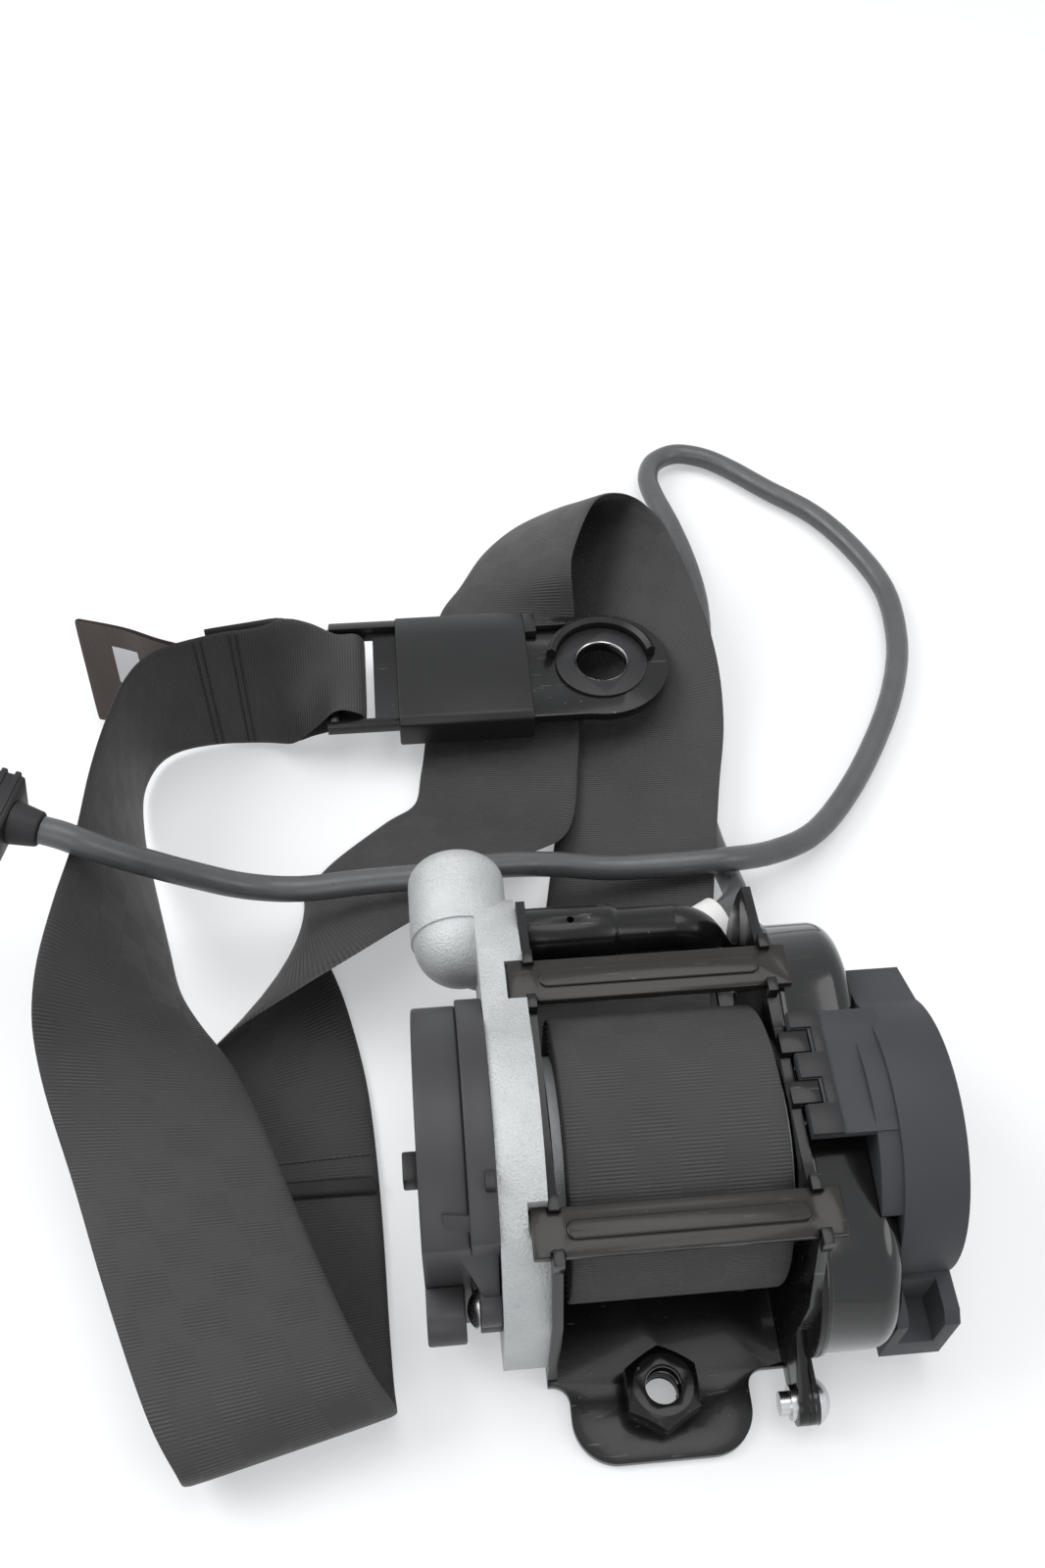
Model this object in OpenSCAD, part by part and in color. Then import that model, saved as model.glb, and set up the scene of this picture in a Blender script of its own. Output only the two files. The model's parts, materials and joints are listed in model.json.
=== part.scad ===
// Seat belt retractor with belt pretensioner, webbing, end anchor and igniter lead.
// It lies on its back plate. X runs along the spool, Y away from the mounting tab, Z up.
// The origin is the axis of the weld nut, on the back face of the back plate.

/* [Frame] */
// Sheet thickness of the frame
frame_t = 2.2; // [1.8:0.1:2.4]
// Clear width between the side plates
frame_gap = 52; // [51.5:0.5:54]
// Height of the front edges of the side plates
front_z = 60.2; // [60:0.2:62]
// Width of the mounting tab
tab_w = 41; // [36:1:42]
// Reach of the tab past the weld nut
tab_reach = 13.7; // [12:0.5:18]

/* [Weld nut] */
// Width across flats
nut_af = 16; // [15:0.5:18]
// Height of the nut
nut_h = 8.7; // [7:0.1:10]
// Radius of the threaded bore
nut_bore_r = 4.25; // [4:0.05:4.6]
// Radius of the pilot that sits in the back plate
nut_pilot_r = 6; // [5.5:0.1:7]

/* [Tie bars] */
// Length over the two T heads
tie_len = 64; // [62:0.2:66]
// Width of a bar
tie_w = 10.4; // [9.4:0.2:10.8]
// Thickness of a bar
tie_t = 2.2; // [1.6:0.1:2.6]

/* [Spool] */
// Width of the webbing
web_w = 47; // [44:0.5:47.5]
// Thickness of the webbing
web_t = 1.2; // [1:0.1:1.3]
// Outer radius of the wound webbing
roll_r = 32; // [28:0.5:32.2]
// Radius of the spool core
core_r = 17; // [16:0.5:19]
// Radius of the main journals
journal_r = 8; // [7.6:0.1:8.2]

/* [Lock side] */
// Outer radius of the die cast lock housing
housing_r = 36.5; // [36:0.1:37]
// Depth of the lock housing along the spool
housing_d = 10; // [9.5:0.5:11]
// Number of ratchet teeth
ratchet_teeth = 24; // [18:1:30]
// Radius over the ratchet teeth
ratchet_r = 22.5; // [21:0.1:22.6]
// Radius of the plastic lock ring
ring_r = 37.3; // [37.1:0.1:37.8]
// Depth of the lock ring
ring_d = 6; // [6:0.5:7]
// Radius of the mechanism cover
cover_r = 36; // [35.5:0.1:36.8]
// Depth of the mechanism cover
cover_d = 10; // [10:0.5:12]

/* [Pretensioner] */
// Radius of the wide end of the tube
tube_r = 7; // [6.6:0.1:7.4]
// Radius of the narrow part of the tube
tube_thin_r = 5.8; // [5.6:0.1:6.2]
// Radius of the drive balls
ball_r = 4.4; // [4.2:0.1:4.5]
// Radius of the round ends of the ball pan
pan_r = 24; // [23:0.5:24]
// Depth of the ball pan
pan_d = 17.6; // [17:0.2:19]
// Wall of the ball pan
pan_wall = 1.3; // [1:0.1:1.6]
// Outer radius of the drive wheel
wheel_r = 15; // [14:0.5:15.5]

/* [Spring side] */
// Radius of the spring cover
spring_cover_r = 31; // [30:0.5:32]
// Depth of the spring cover
spring_cover_d = 14; // [13.5:0.1:16]
// Number of turns of the power spring
spring_turns = 6; // [4:1:7]

/* [End anchor] */
// Thickness of the anchor plate
anchor_t = 3; // [2.6:0.1:3]
// Radius of the bolt eye
eye_r = 7.75; // [6.5:0.05:7.75]
// Radius of the round end of the plate
anchor_r = 20.5; // [19:0.5:20.5]
// Width of the slot end
anchor_w = 40; // [38:0.5:41]

/* [Lead] */
// Diameter of the sheathed lead
lead_d = 7; // [5:0.5:7]

/* [Hidden] */
$fn = 64;
// Running fit of journals and pins, free gap beside a moving piece, overrun of a cut
fit = 0.06;
free = 0.4;
over = 0.5;
// A straight side stops this far short of a round one, so that they cross and do not just touch
shy = 0.06;

axis_y = 44;
axis_z = 35.2;
mid_x = 3;
left_in = mid_x - frame_gap / 2;
left_out = left_in - frame_t;
right_in = mid_x + frame_gap / 2;
right_out = right_in + frame_t;
nut_top_r = nut_af / 2 - 1.2;
plate_y0 = 5;
plate_y1 = 82;
ear_y = 99;
bush_r = 13;

tie_low_y = 17.2;
tie_up_y = 75;
neck_w = 8;
post_w = 3.4;
post_h = 3.6;
tie_x0 = mid_x - tie_len / 2;

roll_x0 = mid_x - web_w / 2;
roll_x1 = mid_x + web_w / 2;
flange_r = 23;
torsion_r = 4;
web_pin_r = 2.5;
web_pin_at = 12;

housing_x0 = left_out - housing_d;
housing_floor = 2;
housing_in = housing_r - 3.5;
ring_x0 = housing_x0 - ring_d;
ring_web = 1.5;
cover_x0 = ring_x0 - cover_d;
plastic_t = 2;
// The ring and the cover are cut flat at this Y, beside the vehicle sensor
cut_y = 16.5;
// The round pieces are cut flat here, so that the part lies on its back plate
flat_z = 0.3;

left_stub_r = 5.5;
left_stub_x0 = cover_x0 + 3.2;
left_stub_x1 = housing_x0 - 0.8;
right_stub_r = 6;

ratchet_x0 = housing_x0 + 2.2;
ratchet_x1 = ratchet_x0 + 4.5;
tooth_h = 4;
pawl_a = -120;
pawl_at = 28.2;
pawl_y = axis_y + pawl_at * cos(pawl_a);
pawl_z = axis_z + pawl_at * sin(pawl_a);
pawl_pin_r = 2;
pawl_eye_r = 4;
pawl_len = 16;
pawl_lean = 15;

disc_x0 = ring_x0 + 0.8;
disc_x1 = disc_x0 + 3;
disc_r = 24.5;
disc_teeth = 36;
weight_t = 2.5;
weight_x1 = disc_x0 - 0.3;
weight_x0 = weight_x1 - weight_t;
weight_at = 16;
weight_pin_r = 1.5;

sensor_y = 11;
sensor_z = 33;
sensor_r = 5.2;
sensor_wall = 1.2;
sensor_x1 = -42.9;
sensor_ball_r = 3;
lever_y = 15.2;
lever_z = 30.6;
lever_r = 1.5;
lever_pin_r = 0.8;

boss_y = 12.5;
boss_r = 4.7;
boss_x0 = -40;
screw_r = 4.6;
screw_h = 2.6;
shank_r = 2;
shank_gap = 0.15;

cap_x = -38.6;
cap_y0 = 97;
cap_y1 = 119;
cap_r = 11.9;
cap_round = 5.9;
bulge_r = 11.3;
generator_y = 106;
generator_r = 5.2;
generator_z0 = 31;
generator_z1 = 52;
plug_z0 = 25;
plug_r = 5;

tube_y = 97;
tube_z = 45;
tube_step_x = 0;
tube_bore_r = ball_r + 0.3;
bend_r = 9;
bend_a = 60;
bend_drop = 13.4;
// The bend falls forward and down, at this angle from straight down
bend_roll = 26.6;
bend_run = (bend_drop - 2 * bend_r * (1 - cos(bend_a))) / sin(bend_a);
bend_len = 2 * bend_r * sin(bend_a) + bend_run * cos(bend_a);
bend_x = right_out - bend_len;
tube_end_y = tube_y - bend_drop * sin(bend_roll);
tube_end_z = tube_z - bend_drop * cos(bend_roll);
bend_lap = 0.3;
bend_step = 0.05;
seal_x0 = -22;
seal_l = 10;

guide_t = 1.2;
pan_x0 = right_out + guide_t;
pan_x1 = pan_x0 + pan_d;
pan_low = [24, 27];
pan_up = [74, 35];
pan_round = 5;
flange_w = 0.8;
ear_at = [-5.5, 7.5];
ear_r = 5;
rivet_r = 2.6;
rivet_head_r = 5.2;

wheel_x0 = pan_x0 + 1.2;
wheel_d = 12.4;
pockets = 9;
pocket_at = wheel_r + 3.5;

spring_x0 = pan_x1;
spring_x1 = spring_x0 + spring_cover_d;
spring_wall = 2;
lip_d = 4.5;
spring_in = 25;
right_stub_x1 = spring_x1 - spring_wall - 0.1;
arbor_r = 9;
arbor_x1 = spring_x1 - 3.5;
strip_t = 0.5;
arm_y0 = 33;
arm_y1 = 62;
arm_z = front_z + 0.8;
arm_t = 2;
hook_w = 5;
hook_l = 4;
hook_ys = [43, 55];

anchor_z = 14.5;
anchor_y = 210;
eye_x = 11.5;
bar_x = -70;
bar_w = 4;
slot_x1 = -58;
slot_l = 34;
box_x0 = -51;
box_x1 = -11;
box_w = 45;
box_z0 = 10.5;
box_z1 = 21.5;
ring_z1 = 18.3;
ring_out_r = 14;
ring_hole_r = 8.2;

lead_r = lead_d / 2;
boot_l = 7;
connector_l = 32;
connector_w = 20;
connector_h = 12;
clip_at = [29, 116.2, 15.1];
clip_turn = 29;
clip_w = 7;
clip_leg = 4;
clip_in_r = lead_r + 0.7;
clip_out_r = clip_in_r + 1.6;

// Lead route, from the igniter plug to the boot of the connector
lead_route = [[-38.6, 106, 24.7], [-38.55, 106, 20.2], [-36.8, 106.2, 14.4], [-32.6, 106.6, 10.2],
    [-26.6, 107, 8.4], [-14, 108, 8.9], [0, 109, 10.4], [14, 110.5, 12.3], [25, 114, 14.6],
    [33, 118.5, 15.4], [38.5, 125.5, 12], [39.5, 135, 6.6], [37.5, 148, 3.9], [36, 165, 3.9],
    [37, 185, 3.9], [41, 204, 3.9], [46, 224, 4], [48.5, 244, 4.5], [47.5, 262, 6], [44.5, 280, 7],
    [41, 296, 7], [40.4, 306, 6.4], [43.8, 315, 5.6], [52, 319.9, 5], [61.6, 318.2, 4.4],
    [70.5, 312, 4], [82, 300, 4], [96, 286, 4], [106, 268, 4], [112, 248, 4], [111, 227, 4],
    [106, 209, 4], [97, 190, 4], [83, 168, 4], [68, 151, 5], [53, 142, 9], [37, 136, 15.4],
    [20, 136, 14.6], [4, 136.5, 14.4], [-12, 136.5, 18], [-28, 134, 22.6], [-44.9, 130.7, 24.6],
    [-62, 130.8, 23.6], [-79.4, 129.9, 23.6], [-93.2, 129, 28], [-105, 127.6, 36.5],
    [-115.4, 125.5, 46.5], [-122.7, 124.5, 53.2], [-128.3, 124.4, 57.8], [-133, 125.4, 60.2],
    [-137.17, 126.57, 61]];
lead_dir = [-0.947, 0.266, 0.181];
boot_at = [-137.64, 126.7, 61.09];

// Webbing stations: middle of the web, direction across it, half width
strap_half = web_w / 2;
mid_half = 21;
slot_half = 16;
strap_stations = [
    [[3, 56, 3.3], [1, 0, 0], strap_half], [[3, 82, 3.5], [1, 0, 0], strap_half],
    [[5, 104, 3], [0.99, -0.1, 0.08], strap_half], [[9.5, 127, 5.6], [0.97, -0.17, 0.2], strap_half],
    [[18, 167, 5.9], [0.97, -0.18, 0.21], strap_half], [[24, 193, 6], [0.97, -0.1, 0.22], strap_half],
    [[25, 216, 10.4], [0.9, 0.1, 0.4], strap_half], [[20, 247, 15.5], [0.77, -0.02, 0.62], strap_half],
    [[20, 273, 17], [0.52, -0.51, 0.68], strap_half], [[20, 283.5, 17.5], [0.22, -0.7, 0.7], strap_half],
    [[5, 278, 17.5], [0.45, -0.55, 0.7], strap_half], [[-6, 263, 16.5], [0.57, -0.57, 0.59], strap_half],
    [[-12, 250, 14.5], [0.72, -0.45, 0.52], strap_half], [[-15.5, 238, 6.4], [0.9, -0.36, 0.2], strap_half],
    [[-18, 216, 5.5], [0.94, -0.3, 0.15], strap_half], [[-20, 196, 4.2], [0.98, -0.16, 0.08], strap_half],
    [[-22, 182, 3.6], [0.99, -0.08, 0.06], strap_half], [[-26, 164, 4], [0.93, -0.35, 0.1], strap_half],
    [[-38, 154, 7.6], [0.8, -0.52, 0.28], strap_half], [[-57, 139, 10.8], [0.64, -0.64, 0.43], strap_half],
    [[-70, 127, 13.5], [0.42, -0.72, 0.54], strap_half], [[-80, 119, 12.8], [0, -0.86, 0.5], strap_half],
    [[-87, 108, 10.8], [-0.45, -0.78, 0.4], strap_half], [[-88, 93, 8], [-0.8, -0.5, 0.28], strap_half],
    [[-86.5, 72, 3.5], [-0.97, -0.15, 0.1], strap_half], [[-85, 48, 1.4], [-1, 0, 0], strap_half],
    [[-84, 20, 1.4], [-0.99, -0.12, 0], strap_half], [[-83, 3, 3], [-0.98, -0.2, 0], strap_half],
    [[-82, -6, 10], [-0.97, -0.23, 0], strap_half], [[-82.5, -6, 18.5], [-0.97, -0.22, 0], strap_half],
    [[-88, 3, 25], [-0.99, -0.13, 0], strap_half], [[-98.4, 28, 26], [-1, -0.05, 0], strap_half],
    [[-108, 54, 27], [-1, 0, 0.05], strap_half], [[-116, 76, 31], [-0.93, -0.04, 0.36], strap_half],
    [[-120.6, 91, 37], [-0.7, -0.08, 0.71], strap_half],
    [[-122.3, 107, 36.2], [-0.5, 0.08, 0.86], strap_half],
    [[-123.4, 125, 32.2], [-0.35, 0.16, 0.92], strap_half], [[-126, 148, 28], [-0.2, 0.15, 0.96], strap_half],
    [[-127.5, 165, 25.5], [-0.07, 0.1, 0.99], strap_half],
    [[-127.2, 179.5, 24.7], [0.03, 0.03, 1], strap_half],
    [[-125, 188.5, 24.5], [0.05, -0.02, 1], strap_half], [[-121, 194.5, 24.5], [0.03, -0.05, 1], strap_half],
    [[-114, 198.4, 24.5], [0, -0.03, 1], strap_half], [[-101, 200.8, 24.5], [0, 0.03, 1], strap_half],
    [[-88, 202.6, 23.4], [0, 0.25, 0.97], mid_half], [[-78, 207.6, 21], [0, 0.85, 0.53], slot_half + 1],
    [[-70, 210, 20], [0, 1, 0], slot_half], [[-63.4, 210, 19.2], [0, 1, 0], slot_half],
    [[-61, 210, 16], [0, 1, 0], slot_half], [[-63.4, 210, 12.8], [0, 1, 0], slot_half],
    [[-70, 210, 12], [0, 1, 0], slot_half], [[-78, 212.4, 13.4], [0, 0.87, 0.49], slot_half + 1],
    [[-89, 207, 20.8], [0, 0.27, 0.96], mid_half], [[-104, 202.7, 24.4], [0, 0.03, 1], strap_half]];
tag_t = 2.4;
tag_stations = [[[-105, 205.2, 22], [0, 0.05, 1], 14], [[-118, 208, 21], [-0.05, 0.25, 0.96], 15],
    [[-130, 214, 18], [-0.08, 0.42, 0.9], 16], [[-143.5, 219.5, 16.5], [-0.09, 0.48, 0.87], 16]];

function unit(v) = v / norm(v);

// Smooth points through a list, with a few steps in each gap
function mix(a, b, c, d, t) =
    0.5 * (2 * b + (c - a) * t + (2 * a - 5 * b + 4 * c - d) * t * t + (3 * b - a - 3 * c + d) * t * t * t);
function smooth(list, steps) = let (n = len(list))
    concat([for (i = [0:n - 2], j = [0:steps - 1])
        mix(list[max(i - 1, 0)], list[i], list[i + 1], list[min(i + 2, n - 1)], j / steps)], [list[n - 1]]);

module rod_x(x0, x1, r, y = axis_y, z = axis_z) {
    translate([x0, y, z]) rotate([0, 90, 0]) cylinder(h = x1 - x0, r = r);
}

// A flat shape in the Y-Z plane, made thick along X
module slab_x(x0, x1) {
    translate([x0, 0, 0]) rotate([90, 0, 90]) linear_extrude(x1 - x0) children();
}

module round_2d(at, r) {
    translate(at) circle(r);
}

module obround_2d(a, b, r) {
    round_2d(a, r);
    round_2d(b, r);
    translate(a) rotate(atan2(b[1] - a[1], b[0] - a[0])) translate([0, shy - r])
        square([norm(b - a), 2 * (r - shy)]);
}

// Closed solid through rings of points
module sweep(rings) {
    n = len(rings[0]);
    m = len(rings);
    points = [for (ring = rings) each ring];
    sides = [for (i = [0:m - 2], j = [0:n - 1], h = [0, 1])
        let (a = i * n + j, b = i * n + (j + 1) % n) h == 0 ? [a, b, a + n] : [b, b + n, a + n]];
    ends = [for (j = [1:n - 2], h = [0, 1])
        h == 0 ? [0, j + 1, j] : [(m - 1) * n, (m - 1) * n + j, (m - 1) * n + j + 1]];
    polyhedron(points, concat(sides, ends), convexity = 10);
}

// A flat band of webbing along its stations
module band(stations, t, steps) {
    mids = smooth([for (s = stations) s[0]], steps);
    across = smooth([for (s = stations) s[1]], steps);
    halves = smooth([for (s = stations) s[2]], steps);
    n = len(mids);
    sweep([for (i = [0:n - 1])
        let (w = unit(across[i]), along = unit(mids[min(i + 1, n - 1)] - mids[max(i - 1, 0)]),
            h = unit(cross(w, along)) * t / 2, s = w * halves[i])
        [mids[i] - s - h, mids[i] - s + h, mids[i] + s + h, mids[i] + s - h]]);
}

module side_plate_2d(low) {
    difference() {
        union() {
            polygon([[plate_y0, 0], [plate_y1, 0], [plate_y1, low], [ear_y, front_z - 4],
                [ear_y, front_z - 2], [plate_y1 - 2, front_z], [12, front_z], [plate_y0, 40]]);
            for (y = [tie_low_y, tie_up_y], s = [-1, 1])
                translate([y + s * (neck_w + post_w) / 2 - post_w / 2, front_z - 1])
                    square([post_w, post_h + 1]);
        }
        round_2d([axis_y, axis_z], bush_r);
    }
}

module back_plate_2d() {
    corner = 10;
    shoulder = 4;
    y0 = plate_y0 - 1;
    difference() {
        union() {
            translate([-tab_w / 2, corner - tab_reach]) square([tab_w, tab_reach + plate_y0 - corner]);
            translate([corner - tab_w / 2, -tab_reach]) square([tab_w - 2 * corner, corner + 1]);
            for (s = [-1, 1]) round_2d([s * (tab_w / 2 - corner), corner - tab_reach], corner);
            translate([left_out, y0]) square([right_out - left_out, plate_y1 - y0]);
            for (s = [-1, 1]) translate([s * (tab_w + shoulder) / 2 - (shoulder + 1) / 2, y0 - shoulder])
                square([shoulder + 1, shoulder + 1]);
        }
        for (s = [-1, 1]) round_2d([s * (tab_w / 2 + shoulder), y0 - shoulder], shoulder);
        circle(nut_pilot_r);
    }
}

module frame() {
    color([0.06, 0.06, 0.06]) difference() {
        union() {
            linear_extrude(frame_t) back_plate_2d();
            slab_x(left_out, left_in) side_plate_2d(24);
            slab_x(right_in, right_out) {
                side_plate_2d(34);
                round_2d(ear_at, ear_r);
                polygon([[ear_at[0] - 1, ear_at[1] + 4.8], [8, 26], [14, 26], [14, 3], [ear_at[0], 2.6]]);
                for (y = hook_ys) translate([y - hook_w / 2, front_z - 1])
                    square([hook_w, arm_z + arm_t - front_z + 1]);
            }
            for (y = hook_ys) translate([right_in, y - hook_w / 2, arm_z])
                cube([frame_t + hook_l, hook_w, arm_t]);
        }
        rod_x(left_out - over, left_in + over, tube_r, tube_y, tube_z);
        rod_x(right_in - over, right_out + over, rivet_r, ear_at[0], ear_at[1]);
    }
}

module weld_nut() {
    color([0.05, 0.05, 0.05]) difference() {
        union() {
            cylinder(h = frame_t + 1, r = nut_pilot_r);
            translate([0, 0, frame_t]) intersection() {
                rotate(30) cylinder(h = nut_h, r = nut_af / 2 / cos(30), $fn = 6);
                cylinder(h = nut_h, r1 = nut_top_r + nut_h, r2 = nut_top_r);
            }
        }
        translate([0, 0, -over]) cylinder(h = frame_t + nut_h + 2 * over, r = nut_bore_r);
    }
}

module tie_bar(y) {
    rib_w = 4;
    rib_l = 46;
    rib_h = 0.8;
    translate([0, y, front_z]) {
        difference() {
            translate([tie_x0, -tie_w / 2, 0]) cube([tie_len, tie_w, tie_t]);
            for (x = [left_out, right_in], s = [-1, 1])
                translate([x - 0.1, s * (neck_w / 2 + 3) - 3, -over])
                    cube([frame_t + 0.2, 6, tie_t + 2 * over]);
        }
        translate([mid_x - rib_l / 2, -rib_w / 2, tie_t]) cube([rib_l, rib_w, rib_h]);
        for (s = [-1, 1]) translate([mid_x + s * rib_l / 2, 0, tie_t]) cylinder(h = rib_h, r = rib_w / 2);
    }
}

module lower_tie_bar() {
    color([0.12, 0.11, 0.1]) tie_bar(tie_low_y);
}

module upper_tie_bar() {
    color([0.12, 0.11, 0.1]) tie_bar(tie_up_y);
}

// Flanged bush in a side plate
module bush(x0, x1, lip_x0, lip_x1) {
    color([0.85, 0.84, 0.8]) difference() {
        union() {
            rod_x(x0, x1, bush_r);
            rod_x(lip_x0, lip_x1, bush_r + 2);
        }
        rod_x(x0 - 2, x1 + 2, journal_r + fit);
    }
}

module left_bush() {
    bush(left_out - 1, left_in, left_out - 1, left_out);
}

module right_bush() {
    bush(right_in, right_out + 1, right_out, right_out + 1);
}

module spool_drum() {
    color([0.75, 0.75, 0.77]) difference() {
        union() {
            rod_x(left_in + free, right_in - free, core_r);
            rod_x(left_in + free, roll_x0, flange_r);
            rod_x(roll_x1, right_in - free, flange_r);
            rod_x(left_stub_x1, spring_x0 - 1.5, journal_r);
            rod_x(left_stub_x0, 0, left_stub_r);
            rod_x(0, right_stub_x1, right_stub_r);
        }
        rod_x(left_stub_x0 - over, right_stub_x1 + over, torsion_r);
        rod_x(roll_x0 + 1, right_in, web_pin_r, axis_y + web_pin_at);
    }
}

module torsion_bar() {
    color([0.5, 0.5, 0.52]) rod_x(left_stub_x0, right_stub_x1, torsion_r);
}

module web_pin() {
    color([0.6, 0.6, 0.62]) rod_x(roll_x0 + 1, roll_x1, web_pin_r, axis_y + web_pin_at);
}

module webbing_roll() {
    color([0.17, 0.16, 0.155]) difference() {
        rod_x(roll_x0, roll_x1, roll_r);
        rod_x(roll_x0 - over, roll_x1 + over, core_r);
    }
}

// Saw-toothed wheel outline about the spool axis
module teeth_2d(count, tip, root, lean) {
    translate([axis_y, axis_z]) polygon([for (i = [0:count - 1], k = [0, 1])
        let (a = 360 / count * (i + k * lean)) (k == 0 ? tip : root) * [cos(a), sin(a)]]);
}

module ratchet_wheel() {
    color([0.55, 0.55, 0.57]) difference() {
        slab_x(ratchet_x0, ratchet_x1) teeth_2d(ratchet_teeth, ratchet_r, ratchet_r - tooth_h, 0.2);
        rod_x(ratchet_x0 - over, ratchet_x1 + over, journal_r);
    }
}

module spring_arbor() {
    color([0.85, 0.85, 0.82]) difference() {
        rod_x(spring_x0 + 1.8, arbor_x1, arbor_r);
        rod_x(spring_x0, arbor_x1 + over, right_stub_r);
    }
}

module lock_pawl() {
    color([0.5, 0.5, 0.52]) difference() {
        union() {
            rod_x(ratchet_x0, ratchet_x1, pawl_eye_r, pawl_y, pawl_z);
            slab_x(ratchet_x0, ratchet_x1) translate([pawl_y, pawl_z]) rotate(pawl_a + 90 + pawl_lean)
                polygon([[2.5, -2.5], [2.5, 2.5], [pawl_len, 2], [pawl_len, -2]]);
        }
        rod_x(ratchet_x0 - over, ratchet_x1 + over, pawl_pin_r + fit, pawl_y, pawl_z);
    }
}

module pawl_pin() {
    color([0.6, 0.6, 0.62]) rod_x(housing_x0 + free, left_out, pawl_pin_r, pawl_y, pawl_z);
}

module lock_housing() {
    color([0.78, 0.8, 0.8]) difference() {
        union() {
            slab_x(housing_x0, left_out) {
                cut_round_2d(housing_r, 0);
                polygon([[6, 10], [6, 38], [14, 55], [axis_y, 55], [axis_y, 6], [12, 6]]);
                polygon([[54, 69], [86, 61], [100, 55], [105, 50], [105, 38], [88, 30], [68, 10],
                    [axis_y, 20]]);
            }
            translate([cap_x, cap_y0, tube_z]) {
                sphere(bulge_r);
                rotate([-90, 0, 0]) rotate_extrude() {
                    square([cap_r, cap_y1 - cap_y0 - cap_round]);
                    square([cap_r - cap_round, cap_y1 - cap_y0]);
                    translate([cap_r - cap_round, cap_y1 - cap_y0 - cap_round]) circle(cap_round);
                }
            }
            translate([cap_x, generator_y, generator_z0])
                cylinder(h = tube_z - generator_z0, r = generator_r + 1.6);
        }
        rod_x(housing_x0 - 20, left_out - housing_floor, housing_in);
        rod_x(left_out - housing_floor - over, left_out + over, bush_r + 3);
        rod_x(left_out - housing_floor - over, left_out + over, pawl_pin_r, pawl_y, pawl_z);
        rod_x(housing_x0 - over, housing_x0 + 5, shank_r, boss_y, sensor_z);
        translate([cap_x, generator_y, generator_z0 - over])
            cylinder(h = generator_z1 - generator_z0 + over, r = generator_r);
        rod_x(cap_x, left_out + over, tube_bore_r, tube_y, tube_z);
        for (y = [tie_low_y, tie_up_y]) translate([tie_x0 - free, y - tie_w / 2 - free, front_z - free])
            cube([40, tie_w + 2 * free, 20]);
    }
}

// Round outline cut flat beside the vehicle sensor and underneath
module cut_round_2d(r, y0) {
    intersection() {
        round_2d([axis_y, axis_z], r);
        translate([y0, flat_z]) square([100, 100]);
    }
}

module lock_ring() {
    color([0.1, 0.1, 0.11]) difference() {
        union() {
            slab_x(ring_x0, housing_x0) cut_round_2d(ring_r, cut_y);
            slab_x(boss_x0, housing_x0) {
                round_2d([boss_y, sensor_z], boss_r);
                translate([boss_y, sensor_z - boss_r]) square([cut_y - boss_y + 1, 2 * boss_r]);
            }
        }
        slab_x(ring_x0 - over, housing_x0 - ring_web) cut_round_2d(housing_in, cut_y + plastic_t);
        rod_x(ring_x0, housing_x0 + over, journal_r + 1);
        rod_x(ring_x0 - over, boss_x0, screw_r + free, boss_y, sensor_z);
        rod_x(boss_x0 - over, housing_x0 + over, shank_r + shank_gap, boss_y, sensor_z);
    }
}

module control_disc() {
    color([0.9, 0.9, 0.88]) difference() {
        union() {
            slab_x(disc_x0, disc_x1) teeth_2d(disc_teeth, disc_r, disc_r - 1.6, 0.3);
            rod_x(weight_x0, disc_x0 + 1, weight_pin_r, axis_y, axis_z + weight_at);
        }
        rod_x(disc_x0 - over, disc_x1 + over, left_stub_r + fit);
    }
}

module flyweight() {
    color([0.55, 0.55, 0.57]) difference() {
        slab_x(weight_x0, weight_x1) translate([axis_y, axis_z])
            polygon(concat([for (a = [75:15:195]) 20 * [cos(a), sin(a)]],
                [for (a = [195:-15:75]) 12 * [cos(a), sin(a)]]));
        rod_x(weight_x0 - over, weight_x1 + over, weight_pin_r + fit, axis_y, axis_z + weight_at);
    }
}

module mechanism_cover() {
    boss_x1 = left_stub_x0 + 2.5;
    color([0.09, 0.09, 0.1]) difference() {
        union() {
            difference() {
                slab_x(cover_x0, ring_x0) cut_round_2d(cover_r, cut_y);
                slab_x(cover_x0 + plastic_t, ring_x0 + over)
                    cut_round_2d(cover_r - plastic_t, cut_y + plastic_t);
            }
            rod_x(cover_x0 + 1, boss_x1, left_stub_r + 3.5);
        }
        rod_x(left_stub_x0 - 0.6, boss_x1 + over, left_stub_r + fit);
        translate([cover_x0 + plastic_t, cut_y - over, sensor_z - sensor_r + sensor_wall])
            cube([sensor_x1 - cover_x0 - plastic_t - sensor_wall, plastic_t + 2 * over,
                2 * (sensor_r - sensor_wall)]);
    }
}

module cover_peg() {
    color([0.1, 0.1, 0.1]) translate([cover_x0 - 3.8, axis_y - 3.5, axis_z - 3]) cube([3.8, 7, 6]);
}

module sensor_2d(r, y1) {
    round_2d([sensor_y, sensor_z], r);
    translate([sensor_y, sensor_z - r]) square([y1 - sensor_y, 2 * r]);
}

module sensor_housing() {
    color([0.1, 0.1, 0.1]) difference() {
        slab_x(cover_x0, sensor_x1) sensor_2d(sensor_r, cut_y);
        slab_x(cover_x0 + sensor_wall, sensor_x1 - sensor_wall)
            sensor_2d(sensor_r - sensor_wall, cut_y + over);
    }
}

module sensor_ball() {
    color([0.7, 0.7, 0.72]) translate([(cover_x0 + sensor_x1) / 2, sensor_y - 0.9, sensor_z])
        sphere(sensor_ball_r);
}

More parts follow.
